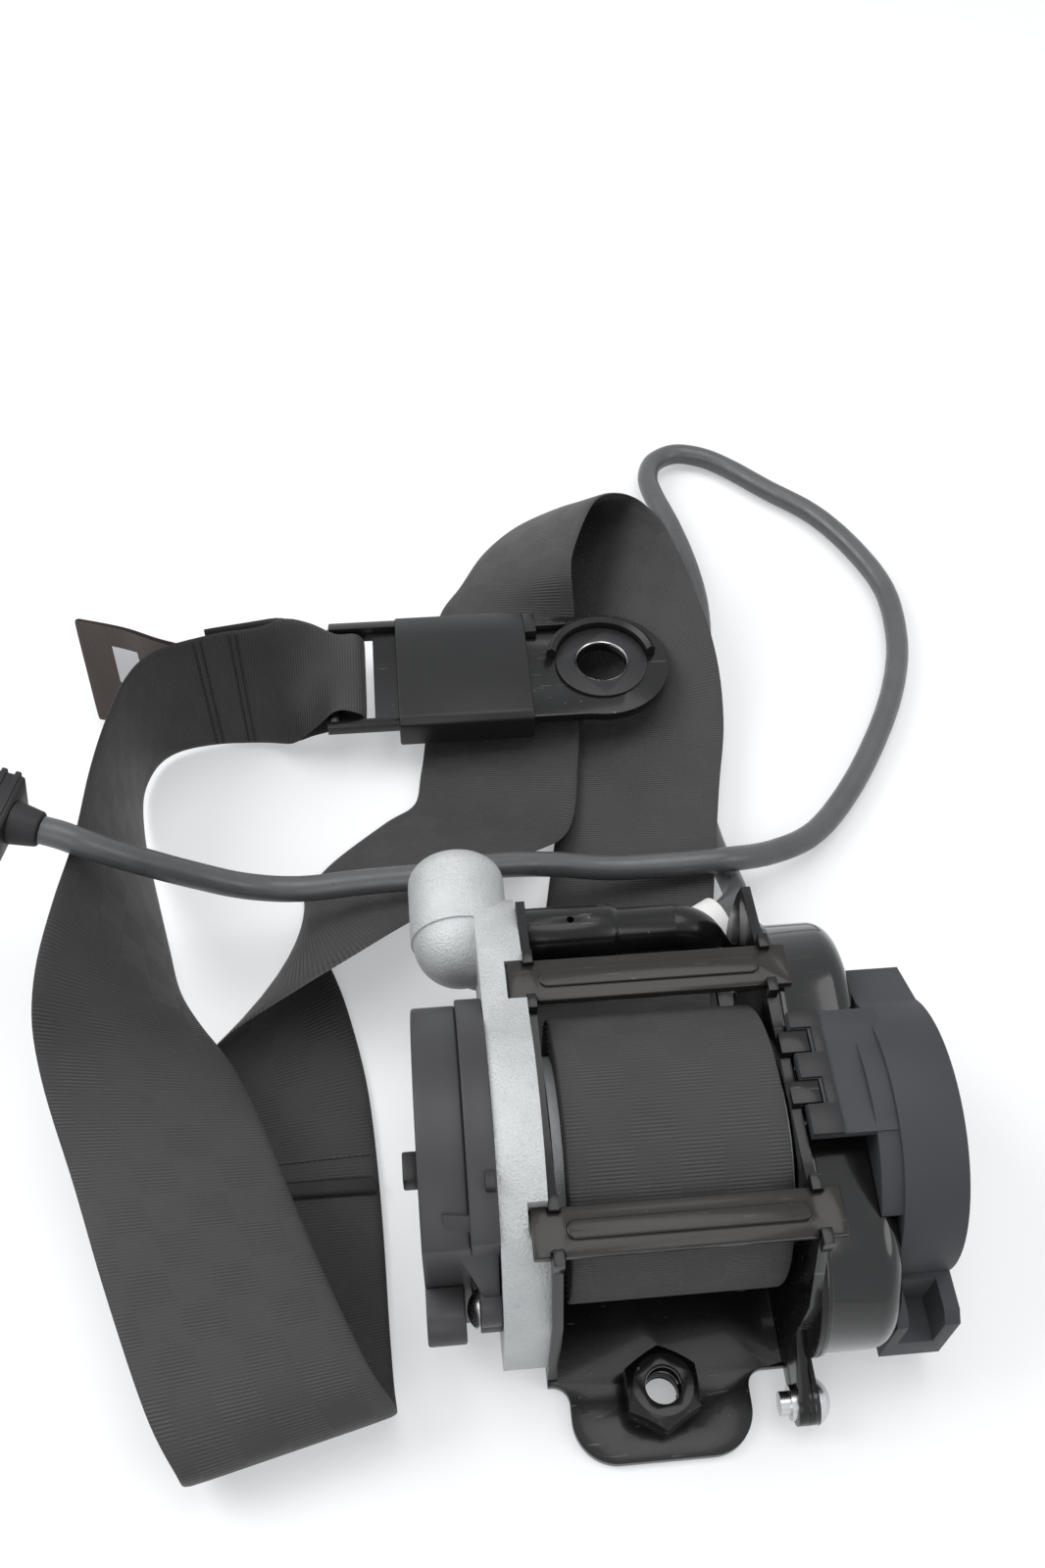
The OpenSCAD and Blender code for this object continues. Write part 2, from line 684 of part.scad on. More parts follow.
module sensor_lever() {
    x0 = cover_x0 + plastic_t + free;
    x1 = sensor_x1 - sensor_wall - free;
    color([0.85, 0.85, 0.82]) difference() {
        slab_x(x0, x1) {
            round_2d([lever_y, lever_z], lever_r);
            translate([lever_y - 1.7, lever_z - 0.4]) square([1.2, 6.2]);
        }
        rod_x(x0 - over, x1 + over, lever_pin_r + fit, lever_y, lever_z);
    }
}

module lever_pin() {
    color([0.6, 0.6, 0.62])
        rod_x(cover_x0 + sensor_wall, sensor_x1 - sensor_wall, lever_pin_r, lever_y, lever_z);
}

// Domed head along X, standing out to the left of x
module dome_left(x, r, h, y, z) {
    ball = (r * r + h * h) / (2 * h);
    intersection() {
        translate([x - h + ball, y, z]) sphere(ball);
        rod_x(x - h - 1, x, r + 1, y, z);
    }
}

module cover_screw() {
    color([0.8, 0.8, 0.82]) {
        dome_left(boss_x0, screw_r, screw_h, boss_y, sensor_z);
        rod_x(boss_x0 - 0.5, housing_x0 + 5, shank_r, boss_y, sensor_z);
    }
}

module gas_generator() {
    color([0.7, 0.68, 0.6]) translate([cap_x, generator_y, generator_z0])
        cylinder(h = generator_z1 - generator_z0, r = generator_r);
}

module igniter_plug() {
    color([0.15, 0.15, 0.15]) translate([cap_x, generator_y, plug_z0])
        cylinder(h = generator_z0 - plug_z0, r = plug_r);
}

module bend_arc(r) {
    translate([0, -bend_r, 0]) rotate(90 - bend_a) rotate_extrude(angle = bend_a)
        translate([bend_r, 0]) circle(r);
}

// Two equal bends with a straight piece between, falling to the guide plate
module tube_bend(r) {
    translate([bend_x, tube_y, tube_z]) rotate([90 - bend_roll, 0, 0]) {
        bend_arc(r - bend_step);
        translate([bend_r * sin(bend_a), -bend_r * (1 - cos(bend_a)), 0]) rotate(-bend_a)
            translate([-bend_lap, 0, 0]) rotate([0, 90, 0]) cylinder(h = bend_run + 2 * bend_lap, r = r);
        translate([bend_len, -bend_drop, 0]) rotate(180) bend_arc(r - bend_step);
    }
}

module pretensioner_tube() {
    vent_x = -12;
    color([0.07, 0.07, 0.07]) difference() {
        union() {
            rod_x(left_out, tube_step_x - 2, tube_r, tube_y, tube_z);
            translate([tube_step_x - 2, tube_y, tube_z]) rotate([0, 90, 0])
                cylinder(h = 2, r1 = tube_r, r2 = tube_thin_r);
            rod_x(tube_step_x - 2, bend_x + bend_lap, tube_thin_r, tube_y, tube_z);
            tube_bend(tube_thin_r);
            rod_x(right_out - bend_lap, right_out, tube_thin_r, tube_end_y, tube_end_z);
        }
        rod_x(left_out - over, bend_x + bend_lap, tube_bore_r, tube_y, tube_z);
        tube_bend(tube_bore_r);
        rod_x(right_out - bend_lap, right_out + over, tube_bore_r, tube_end_y, tube_end_z);
        translate([vent_x, tube_y, tube_z]) cylinder(h = 2 * tube_r, r = 0.9);
    }
}

module piston_seal() {
    color([0.3, 0.3, 0.32]) rod_x(seal_x0, seal_x0 + seal_l, tube_bore_r - 0.1, tube_y, tube_z);
}

module drive_balls() {
    color([0.7, 0.7, 0.72]) for (i = [0:2])
        translate([seal_x0 + seal_l + ball_r + 0.2 + i * (2 * ball_r + 0.1), tube_y, tube_z - 0.2])
            sphere(ball_r);
}

module rim_2d() {
    obround_2d(pan_low, pan_up, pan_r + flange_w);
    round_2d(ear_at, ear_r);
    translate([ear_at[0], ear_at[1] - ear_r + shy]) square([pan_low[0] - ear_at[0] - 6, 2 * (ear_r - shy)]);
}

module guide_plate() {
    color([0.1, 0.1, 0.1]) difference() {
        slab_x(right_out, pan_x0) rim_2d();
        rod_x(right_out - over, pan_x0 + over, bush_r + 2.5);
        rod_x(right_out - over, pan_x0 + over, tube_bore_r, tube_end_y, tube_end_z);
        rod_x(right_out - over, pan_x0 + over, rivet_r, ear_at[0], ear_at[1]);
    }
}

module drive_wheel() {
    color([0.6, 0.6, 0.62]) difference() {
        rod_x(wheel_x0, wheel_x0 + wheel_d, wheel_r);
        rod_x(wheel_x0 - over, wheel_x0 + wheel_d + over, journal_r + fit);
        for (i = [0:pockets - 1]) let (a = 360 / pockets * i)
            rod_x(wheel_x0 - over, wheel_x0 + wheel_d + over, tube_bore_r,
                axis_y + pocket_at * cos(a), axis_z + pocket_at * sin(a));
    }
}

// Drawn pan shape: two round ends joined, with a rounded outer edge
module pan_solid(x0, r, d, edge) {
    hull() for (c = [pan_low, pan_up]) translate([x0, c[0], c[1]]) rotate([0, 90, 0]) rotate_extrude() {
        square([r, d - edge]);
        square([r - edge, d]);
        translate([r - edge, d - edge]) circle(edge, $fn = 24);
    }
}

module ball_pan() {
    color([0.08, 0.08, 0.08]) difference() {
        union() {
            pan_solid(pan_x0, pan_r, pan_d, pan_round);
            slab_x(pan_x0, pan_x0 + pan_wall) rim_2d();
        }
        pan_solid(pan_x0 - over, pan_r - pan_wall, pan_d - pan_wall + over, pan_round - pan_wall);
        rod_x(pan_x1 - 3 * pan_wall, pan_x1 + over, journal_r + 1);
        rod_x(pan_x0 - over, pan_x0 + 2 * pan_wall, rivet_r, ear_at[0], ear_at[1]);
    }
}

module pan_rivet() {
    head_x = pan_x0 + pan_wall;
    color([0.75, 0.76, 0.78]) {
        rod_x(right_in - 3.5, head_x + 0.5, rivet_r, ear_at[0], ear_at[1]);
        rod_x(right_in - 1.2, right_in, rivet_r + 1.2, ear_at[0], ear_at[1]);
        translate([head_x, ear_at[0], ear_at[1]]) rotate(180) dome_left(0, rivet_head_r, 3.2, 0, 0);
    }
}

module spring_cover_2d() {
    inside = spring_cover_r - 2;
    round_2d([axis_y, axis_z], spring_cover_r);
    polygon([[axis_y, axis_z], [axis_y + inside * cos(62), axis_z + inside * sin(62)], [79, 50], [79, 25],
        [axis_y + inside * cos(-40), axis_z + inside * sin(-40)]]);
    polygon([[2.5, 8], [2.5, 28], [5, 30], [30, 30], [30, 8]]);
}

module spring_cover() {
    color([0.2, 0.205, 0.215]) difference() {
        union() {
            difference() {
                union() {
                    slab_x(spring_x0, spring_x1) spring_cover_2d();
                    translate([right_out + free, arm_y0, arm_z])
                        cube([spring_x0 - right_out + 1, arm_y1 - arm_y0, arm_t]);
                    slab_x(spring_x0 - lip_d, spring_x0 + over) difference() {
                        round_2d([axis_y, axis_z], spring_cover_r - 1.5);
                        offset(free) obround_2d(pan_low, pan_up, pan_r);
                        square([100, axis_z]);
                    }
                }
                rod_x(spring_x0 - over, spring_x1 - spring_wall, spring_in);
            }
            rod_x(arbor_x1 + 0.3, spring_x1 - 1, arbor_r);
        }
        rod_x(arbor_x1, spring_x1 - spring_wall, right_stub_r + fit);
        for (y = hook_ys) translate([right_out, y - hook_w / 2 - free, arm_z - over])
            cube([hook_l + free, hook_w + 2 * free, arm_t + 2 * over]);
        translate([spring_x0 + 2.5, 0, 17]) cube([8, 12, 20]);
    }
}

module power_spring() {
    steps = 24;
    inner = arbor_r + 1;
    pitch = (spring_in - 0.8 - inner) / spring_turns;
    n = steps * spring_turns;
    function at(i, dr) = let (a = 360 * i / steps, r = inner + pitch * i / steps + dr) r * [cos(a), sin(a)];
    color([0.35, 0.37, 0.42]) slab_x(spring_x0 + 2.5, arbor_x1 - 0.5) translate([axis_y, axis_z])
        polygon(concat([for (i = [0:n]) at(i, 0)], [for (i = [n:-1:0]) at(i, strip_t)]));
}

module webbing_strap() {
    color([0.15, 0.15, 0.15]) band(strap_stations, web_t, 3);
}

module webbing_tag() {
    color([0.2, 0.15, 0.13]) band(tag_stations, tag_t, 3);
}

module anchor_plate() {
    arm_x0 = bar_x - bar_w / 2;
    color([0.1, 0.1, 0.1]) translate([0, anchor_y, anchor_z]) {
        difference() {
            union() {
                translate([eye_x, 0, 0]) cylinder(h = anchor_t, r = anchor_r);
                translate([arm_x0, -anchor_w / 2, 0]) cube([eye_x - arm_x0, anchor_w, anchor_t]);
            }
            translate([arm_x0 - over, -slot_l / 2, -over])
                cube([slot_x1 - arm_x0 + over, slot_l, anchor_t + 2 * over]);
            translate([eye_x, 0, -over]) cylinder(h = anchor_t + 2 * over, r = eye_r);
        }
        translate([bar_x, -slot_l / 2 - 1, anchor_t / 2]) rotate([-90, 0, 0])
            cylinder(h = slot_l + 2, r = bar_w / 2);
    }
}

module anchor_cover() {
    color([0.11, 0.11, 0.115]) difference() {
        translate([box_x0, anchor_y - box_w / 2, box_z0]) cube([box_x1 - box_x0, box_w, box_z1 - box_z0]);
        translate([box_x0 - over, anchor_y - anchor_w / 2, anchor_z])
            cube([box_x1 - box_x0 + 2 * over, anchor_w, anchor_t]);
    }
}

module anchor_ring() {
    color([0.1, 0.1, 0.1]) translate([eye_x, anchor_y, anchor_z + anchor_t]) difference() {
        cylinder(h = ring_z1 - anchor_z - anchor_t, r = ring_out_r);
        translate([0, 0, -over]) cylinder(h = ring_z1, r = ring_hole_r);
    }
}

module igniter_lead() {
    sides = 8;
    points = smooth(lead_route, 2);
    n = len(points);
    color([0.2, 0.2, 0.2]) sweep([for (i = [0:n - 1])
        let (along = unit(points[min(i + 1, n - 1)] - points[max(i - 1, 0)]),
            a = unit(cross(along, [0, 1, 0] * max(0, 1 - i / 8) + [0, 0, 1] * min(1, i / 8))),
            b = cross(along, a))
        [for (k = [0:sides - 1])
            points[i] + lead_r * (a * cos(360 * k / sides) + b * sin(360 * k / sides))]]);
}

// Inverted U round the lead
module cable_clip() {
    color([0.92, 0.92, 0.9]) translate(clip_at) rotate(clip_turn) translate([-clip_w / 2, 0, 0])
    difference() {
        slab_x(0, clip_w) {
            circle(clip_out_r);
            translate([-clip_out_r, -clip_leg]) square([2 * clip_out_r, clip_leg]);
        }
        slab_x(-over, clip_w + over) {
            circle(clip_in_r);
            translate([-clip_in_r, -2 * clip_leg]) square([2 * clip_in_r, 2 * clip_leg]);
        }
    }
}

module at_lead_end() {
    translate(boot_at) rotate([0, acos(lead_dir[2]), atan2(lead_dir[1], lead_dir[0])])
        children();
}

module lead_boot() {
    color([0.12, 0.12, 0.12]) at_lead_end() cylinder(h = boot_l, r1 = lead_r + 0.8, r2 = lead_r + 2);
}

module lead_connector() {
    color([0.1, 0.1, 0.1]) at_lead_end() translate([-connector_h / 2, -connector_w / 2, boot_l])
        cube([connector_h, connector_w, connector_l]);
}

frame();
weld_nut();
lower_tie_bar();
upper_tie_bar();
left_bush();
right_bush();
spool_drum();
torsion_bar();
web_pin();
webbing_roll();
ratchet_wheel();
spring_arbor();
lock_pawl();
pawl_pin();
lock_housing();
lock_ring();
control_disc();
flyweight();
mechanism_cover();
cover_peg();
sensor_housing();
sensor_ball();
sensor_lever();
lever_pin();
cover_screw();
gas_generator();
igniter_plug();
pretensioner_tube();
piston_seal();
drive_balls();
guide_plate();
drive_wheel();
ball_pan();
pan_rivet();
spring_cover();
power_spring();
webbing_strap();
webbing_tag();
anchor_plate();
anchor_cover();
anchor_ring();
cable_clip();
igniter_lead();
lead_boot();
lead_connector();
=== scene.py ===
# %% [markdown]
# # A seat belt retractor, dressed for a photograph
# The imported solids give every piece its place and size. This lesson gives them edges, cloth,
# thread and finishes. Lengths are written in millimetres and turned into metres by `mm`.

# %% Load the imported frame
import json
import math

import bmesh
import bpy
import numpy as np
from mathutils import Matrix, Vector


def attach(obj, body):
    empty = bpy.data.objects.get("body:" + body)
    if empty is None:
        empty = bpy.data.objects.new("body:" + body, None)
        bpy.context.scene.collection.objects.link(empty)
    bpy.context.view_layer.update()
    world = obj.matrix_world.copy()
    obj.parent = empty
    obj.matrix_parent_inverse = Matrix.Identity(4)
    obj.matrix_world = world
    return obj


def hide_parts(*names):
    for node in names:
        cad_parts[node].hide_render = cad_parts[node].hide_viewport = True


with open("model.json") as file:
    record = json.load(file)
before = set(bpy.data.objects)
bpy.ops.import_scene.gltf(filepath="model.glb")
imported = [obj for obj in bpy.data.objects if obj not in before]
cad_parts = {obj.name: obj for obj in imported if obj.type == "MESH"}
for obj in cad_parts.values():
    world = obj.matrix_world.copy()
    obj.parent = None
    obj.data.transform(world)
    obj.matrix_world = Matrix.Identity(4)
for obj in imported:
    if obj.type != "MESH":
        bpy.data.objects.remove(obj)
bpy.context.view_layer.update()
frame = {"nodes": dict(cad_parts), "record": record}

nodes, bodies = frame["nodes"], frame["record"]["behaviour"]["bodies"]
body_of = {node: body for body, members in bodies.items() for node in members}
slot_of = {row["node"]: row["material_slot"] for row in frame["record"]["subparts"]}

# %% [markdown]
# ## Camera
# The photograph was taken from above the mounting tab, close to the part. The camera's three
# directions were found by lining up the nut, the spool and the tie bars, so they are written out.

# %% Camera
MM = 0.001


def mm(*values):
    return Vector(values) * MM


def new_object(name, data):
    made = bpy.data.objects.new(name, data)
    bpy.context.scene.collection.objects.link(made)
    return made


eye = new_object("eye", bpy.data.cameras.new("eye"))
right, up = Vector((0.99585, -0.08937, 0.01716)), Vector((0.06036, 0.78977, 0.61042))
turn = Matrix((right, up, right.cross(up))).transposed().to_4x4()
eye.matrix_world = Matrix.Translation(mm(-45.40, -89.95, 350.34)) @ turn
eye.data.sensor_width = 36
eye.data.lens = 33.71
eye.data.clip_start = 0.005
bpy.context.scene.camera = eye
bpy.context.scene.view_settings.view_transform = "Standard"
print("camera at", [round(x, 3) for x in eye.location])

# %% [markdown]
# ## Shader maths
# A finish is a small sum: a base colour, some noise, a bump. `Wire` holds one socket, and plus,
# minus and times on it add Math nodes. `Finish.node` adds every other node.


# %% Wires and finishes
class Wire:
    """One output socket; sums on it add Math nodes to its finish."""

    def __init__(self, finish, socket):
        self.finish, self.socket = finish, socket

    def math(self, operation, first, second=0.0, third=0.0):
        return self.finish.node("Math", {"operation": operation}, {0: first, 1: second, 2: third})

    def __add__(self, other):
        return self.math("ADD", self, other)

    def __sub__(self, other):
        return self.math("SUBTRACT", self, other)

    def __rsub__(self, other):
        return self.math("SUBTRACT", other, self)

    def __mul__(self, other):
        return self.math("MULTIPLY", self, other)

    __radd__ = __add__

    def sine(self):
        return self.math("SINE", self)

    def step(self, low, high):
        return self.finish.node("MapRange", {"interpolation_type": "SMOOTHSTEP"},
                                {"Value": self, "From Min": low, "From Max": high})


class Finish:
    """A material in the making, with one method that adds any node."""

    def __init__(self, name, **constants):
        self.material = bpy.data.materials.new(name)
        self.material.use_nodes = True
        self.tree = self.material.node_tree
        self.skin = self.tree.nodes["Principled BSDF"]
        for socket, value in constants.items():
            self.skin.inputs[socket.replace("_", " ")].default_value = value

    def node(self, kind, settings=None, sockets=None, out=0):
        made = self.tree.nodes.new("ShaderNode" + kind)
        for key, value in (settings or {}).items():
            setattr(made, key, value)
        for key, value in (sockets or {}).items():
            if isinstance(value, Wire):
                self.tree.links.new(value.socket, made.inputs[key])
            else:
                made.inputs[key].default_value = value
        return Wire(self, made.outputs[out])

    def place(self, scale=(1, 1, 1), turned=(0, 0, 0)):
        where = self.node("TexCoord", out=3)
        return self.node("Mapping", {}, {"Vector": where, "Scale": scale, "Rotation": turned})

    def noise(self, size, detail=3, scale=(1, 1, 1), turned=(0, 0, 0)):
        return self.node("TexNoise", {}, {"Vector": self.place(scale, turned), "Scale": 1 / (size * MM),
                                          "Detail": detail})

    def mix(self, weight, first, second):
        pair = [value if isinstance(value, Wire) else (*value, 1) for value in (first, second)]
        return self.node("Mix", {"data_type": "RGBA"}, {"Factor": weight, 6: pair[0], 7: pair[1]}, out=2)

    def feed(self, **wires):
        for socket, wire in wires.items():
            self.tree.links.new(wire.socket, self.skin.inputs[socket.replace("_", " ")])
        return self

    def bump(self, height, depth, strength=1.0):
        made = self.node("Bump", {}, {"Strength": strength, "Distance": depth * MM, "Height": height})
        return self.feed(Normal=made)


# %% [markdown]
# ## Hard finishes
# Coated steel has a faint orange peel and some fine scratches; die cast zinc is sandy and pale;
# moulded plastic has a fine grain. Each is a colour with slow noise, plus a bump from fast noise.


# %% Coated steel, cast zinc, plastics and bright steel
def coated(name, colour, rough, worn, peel=0.02, coat=0.0):
    made = Finish(name, Coat_Weight=coat, Coat_Roughness=0.08, Specular_IOR_Level=0.25)
    slow, fine = made.noise(14, 4), made.noise(0.9, 2)
    marks = made.noise(1.6, 2, (0.16, 1.6, 0.6), (0.3, 0.2, 0.5)).step(0.69, 0.73)
    chips = made.noise(2.4, 5).step(0.7, 0.74)
    wear = (marks * 0.6 + chips) * worn
    dark = tuple(c * 0.7 for c in colour)
    dusty = made.mix(slow, dark, tuple(c * 1.35 for c in colour))
    made.feed(Base_Color=made.mix(wear, dusty, (0.34, 0.33, 0.31)),
              Roughness=rough + (slow - 0.5) * 0.16 + wear * 0.25)
    return made.bump(fine, peel).material


def moulded(name, colour, rough, grain=0.03):
    made = Finish(name, Specular_IOR_Level=0.3)
    slow, fine = made.noise(22, 3), made.noise(0.35, 3)
    shade = made.mix(slow, tuple(c * 0.82 for c in colour), tuple(min(c * 1.2, 1) for c in colour))
    made.feed(Base_Color=shade, Roughness=rough + (slow - 0.5) * 0.14 + (fine - 0.5) * 0.1)
    return made.bump(fine, grain).material


def cast_zinc(name):
    made = Finish(name, Metallic=0.35)
    sand, slow, pits = made.noise(0.5, 5), made.noise(9, 4), made.noise(1.3, 4).step(0.62, 0.72)
    pale = made.mix(slow * 0.4 + sand * 0.6, (0.3, 0.315, 0.32), (0.64, 0.655, 0.66))
    made.feed(Base_Color=made.mix(pits * 0.35, pale, (0.26, 0.27, 0.27)), Roughness=0.5 + (sand - 0.5) * 0.25)
    return made.bump(sand, 0.28).material


def bright(name, colour, rough, stretch=(1, 1, 1)):
    made = Finish(name, Metallic=1.0)
    lines, slow = made.noise(0.5, 3, stretch), made.noise(5, 3)
    made.feed(Base_Color=made.mix(slow, tuple(c * 0.8 for c in colour), colour),
              Roughness=rough + (lines - 0.5) * 0.2)
    return made.bump(lines, 0.01).material


FINISH = {
    "black_steel": coated("black_steel", (0.006, 0.006, 0.0065), 0.26, 0.3, coat=0.12),
    "tie_steel": coated("tie_steel", (0.016, 0.0135, 0.0115), 0.3, 0.12, coat=0.15),
    "pan_steel": coated("pan_steel", (0.006, 0.006, 0.0065), 0.17, 0.06, 0.012, 0.5),
    "black_plastic": moulded("black_plastic", (0.015, 0.015, 0.016), 0.4),
    # A lighter copy of the black plastic for the lock-side pieces: painted light, since they are the same
    # black plastic as the rest.
    "lamp_lit_black_plastic": moulded("lamp_lit_black_plastic", (0.04, 0.04, 0.042), 0.42),
    "deep_plastic": moulded("deep_plastic", (0.009, 0.009, 0.0095), 0.36),
    "slate_plastic": moulded("slate_plastic", (0.036, 0.039, 0.044), 0.58, 0.05),
    "grey_plastic": moulded("grey_plastic", (0.3, 0.3, 0.31), 0.5),
    "white_plastic": moulded("white_plastic", (0.8, 0.8, 0.78), 0.45),
    "seal_rubber": moulded("seal_rubber", (0.02, 0.02, 0.021), 0.6, 0.05),
    "zinc": cast_zinc("zinc"),
    "steel": bright("steel", (0.62, 0.62, 0.63), 0.26),
    "spring_steel": bright("spring_steel", (0.3, 0.32, 0.38), 0.3, (0.1, 1, 1)),
}
print("hard finishes", len(FINISH))

# %% [markdown]
# ## Woven finishes
# Seat belt webbing is a heavy twill: fine ribs run across it, and wider panels run along it, with a
# tight selvedge at each side. The pattern has to follow the cloth, so the meshes carry two
# attributes in metres, `along` and `across`, and the finish reads those.


# %% Webbing, tag and lead sleeve
def woven(name, colour, rib, panel, depth, rough=0.62):
    made = Finish(name, Sheen_Weight=0.1, Sheen_Roughness=0.4, Specular_IOR_Level=0.35)
    along = made.node("Attribute", {"attribute_name": "along"}, out=2)
    across = made.node("Attribute", {"attribute_name": "across"}, out=2)
    tau = 2 * math.pi
    column = (across * (tau / (panel * MM))).sine().step(-0.15, 0.15)
    ribs = (along * (tau / (rib * MM))).sine()
    yarns = (across * (tau / (0.55 * MM)) + along * (tau / (rib * MM))).sine()
    block = (along * (tau / (rib * 22 * MM)) + column * math.pi).sine().step(-0.25, 0.25)
    ridge = ribs * (block * 0.6 + 0.4)
    fuzz, slow = made.noise(0.5, 3), made.noise(18, 3)
    height = ridge * 0.5 + yarns * 0.14 + fuzz * 0.25
    # Colour is partly painted shade: rib crests lighter and the grooves between ribs darker, most in the
    # checker blocks; the slow and fine noise is the yarn's own uneven tone.
    rib_shade_and_tone = ridge * 0.26 + slow * 0.36 + fuzz * 0.2 + 0.12
    made.feed(Base_Color=made.mix(rib_shade_and_tone, tuple(c * 0.4 for c in colour), tuple(c * 1.65 for c in colour)),
              Roughness=rough - block * 0.07 - ridge * 0.05)
    return made.bump(height, depth, 0.9).material


def sleeve(name):
    made = Finish(name)
    along = made.node("Attribute", {"attribute_name": "along"}, out=2)
    wrap = (along * (2 * math.pi / (9 * MM)) + made.noise(30, 2) * 3).sine()
    slow, fine = made.noise(16, 4), made.noise(0.7, 3)
    made.feed(Base_Color=made.mix(slow, (0.055, 0.057, 0.06), (0.1, 0.103, 0.107)),
              Roughness=0.34 + (fine - 0.5) * 0.22 + wrap * 0.04)
    return made.bump(fine * 0.3 + wrap * 0.3, 0.06).material


FINISH["webbing"] = woven("webbing", (0.037, 0.0355, 0.035), 0.8, 18.8, 0.12)
FINISH["tag_fabric"] = woven("tag_fabric", (0.05, 0.036, 0.032), 0.6, 40, 0.05)
FINISH["lead_rubber"] = sleeve("lead_rubber")
FINISH["thread"] = moulded("thread", (0.02, 0.019, 0.019), 0.6, 0.06)
FINISH["pale_thread"] = moulded("pale_thread", (0.16, 0.155, 0.15), 0.6, 0.06)
FINISH["grey_paper"] = moulded("grey_paper", (0.5, 0.5, 0.52), 0.55, 0.01)
FINISH["paper"] = moulded("paper", (0.78, 0.78, 0.76), 0.55, 0.01)
FINISH["blue_dot"] = moulded("blue_dot", (0.12, 0.42, 0.62), 0.5, 0.01)
print("finishes", len(FINISH))

# %% [markdown]
# ## Helpers for pieces
# A finished piece is a plain mesh in place, riding on a body. `applied` bakes a piece's modifiers into
# its mesh, and `settle` does the last steps for all of them: it gives the piece its finish, smooths the
# faces, hangs it on its body and hides the solids it stands for.


# %% Settle a piece on its body
def applied(piece):
    """The piece's mesh with its modifiers in it, and no modifier left."""
    graph = bpy.context.evaluated_depsgraph_get()
    mesh = bpy.data.meshes.new_from_object(piece.evaluated_get(graph))
    mesh.name = piece.name
    piece.modifiers.clear()
    piece.data = mesh
    return piece


def settle(piece, body, slot, finish=None, stands_for=(), sharp=35):
    piece.data.materials.clear()
    piece.data.materials.append(FINISH[finish or slot])
    piece.data.shade_smooth()
    piece.data.set_sharp_from_angle(angle=math.radians(sharp))
    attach(piece, body)
    slot in {row["slot"] for row in frame["record"]["materials"]}
    if stands_for:
        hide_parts(*stands_for)
    return piece


def from_points(name, points, faces, **attributes):
    mesh = bpy.data.meshes.new(name)
    mesh.from_pydata([tuple(p) for p in points], [], faces)
    for key, values in attributes.items():
        mesh.attributes.new(key, "FLOAT", "POINT").data.foreach_set("value", np.asarray(values, np.float32))
    return new_object(name, mesh)


def smooth_run(values, steps):
    """A smooth run through a list of points, with `steps` points in each gap."""
    v = np.array(values, float)
    v = np.vstack([v[:1], v, v[-1:]])
    t = np.linspace(0, 1, steps, endpoint=False)[:, None]
    runs = [0.5 * (2 * b + (c - a) * t + (2 * a - 5 * b + 4 * c - d) * t**2 + (3 * b - a - 3 * c + d) * t**3)
            for a, b, c, d in zip(v, v[1:], v[2:], v[3:])]
    return np.vstack([*runs, v[-1:]])


# %% [markdown]
# ## Igniter lead
# The lead leaves the plug under the cap, lies over the webbing, makes one wide loop and comes back
# to its connector. Its route repeats the solid's points, so it lies where the solid lies. A tree of
# Geometry Nodes sweeps a round section along it, and stores the distance for the sleeve's finish.

# %% Lead route
LEAD_R = 3.5
LEAD_ROUTE = [
    (-38.6, 106, 24.7), (-38.55, 106, 20.2), (-36.8, 106.2, 14.4), (-32.6, 106.6, 10.2),
    (-26.6, 107, 8.4), (-14, 108, 8.9), (0, 109, 10.4), (14, 110.5, 12.3), (25, 114, 14.6), (33, 118.5, 15.4),
    (38.5, 125.5, 12), (39.5, 135, 6.6), (37.5, 148, 3.9), (36, 165, 3.9), (37, 185, 3.9), (41, 204, 3.9),
    (46, 224, 4), (48.5, 244, 4.5), (47.5, 262, 6), (44.5, 280, 7), (41, 296, 7), (40.4, 306, 6.4),
    (43.8, 315, 5.6), (52, 319.9, 5), (61.6, 318.2, 4.4), (70.5, 312, 4), (82, 300, 4), (96, 286, 4),
    (106, 268, 4), (112, 248, 4), (111, 227, 4), (106, 209, 4), (97, 190, 4), (83, 168, 4), (68, 151, 5),
    (53, 142, 9), (37, 136, 15.4), (20, 136, 14.6), (4, 136.5, 14.4), (-12, 136.5, 18), (-28, 134, 22.6),
    (-44.9, 130.7, 24.6), (-62, 130.8, 23.6), (-79.4, 129.9, 23.6), (-93.2, 129, 28), (-105, 127.6, 36.5),
    (-115.4, 125.5, 46.5), (-122.7, 124.5, 53.2), (-128.3, 124.4, 57.8), (-133, 125.4, 60.2),
    (-137.17, 126.57, 61)]
lead_path = smooth_run(LEAD_ROUTE, 5) * MM


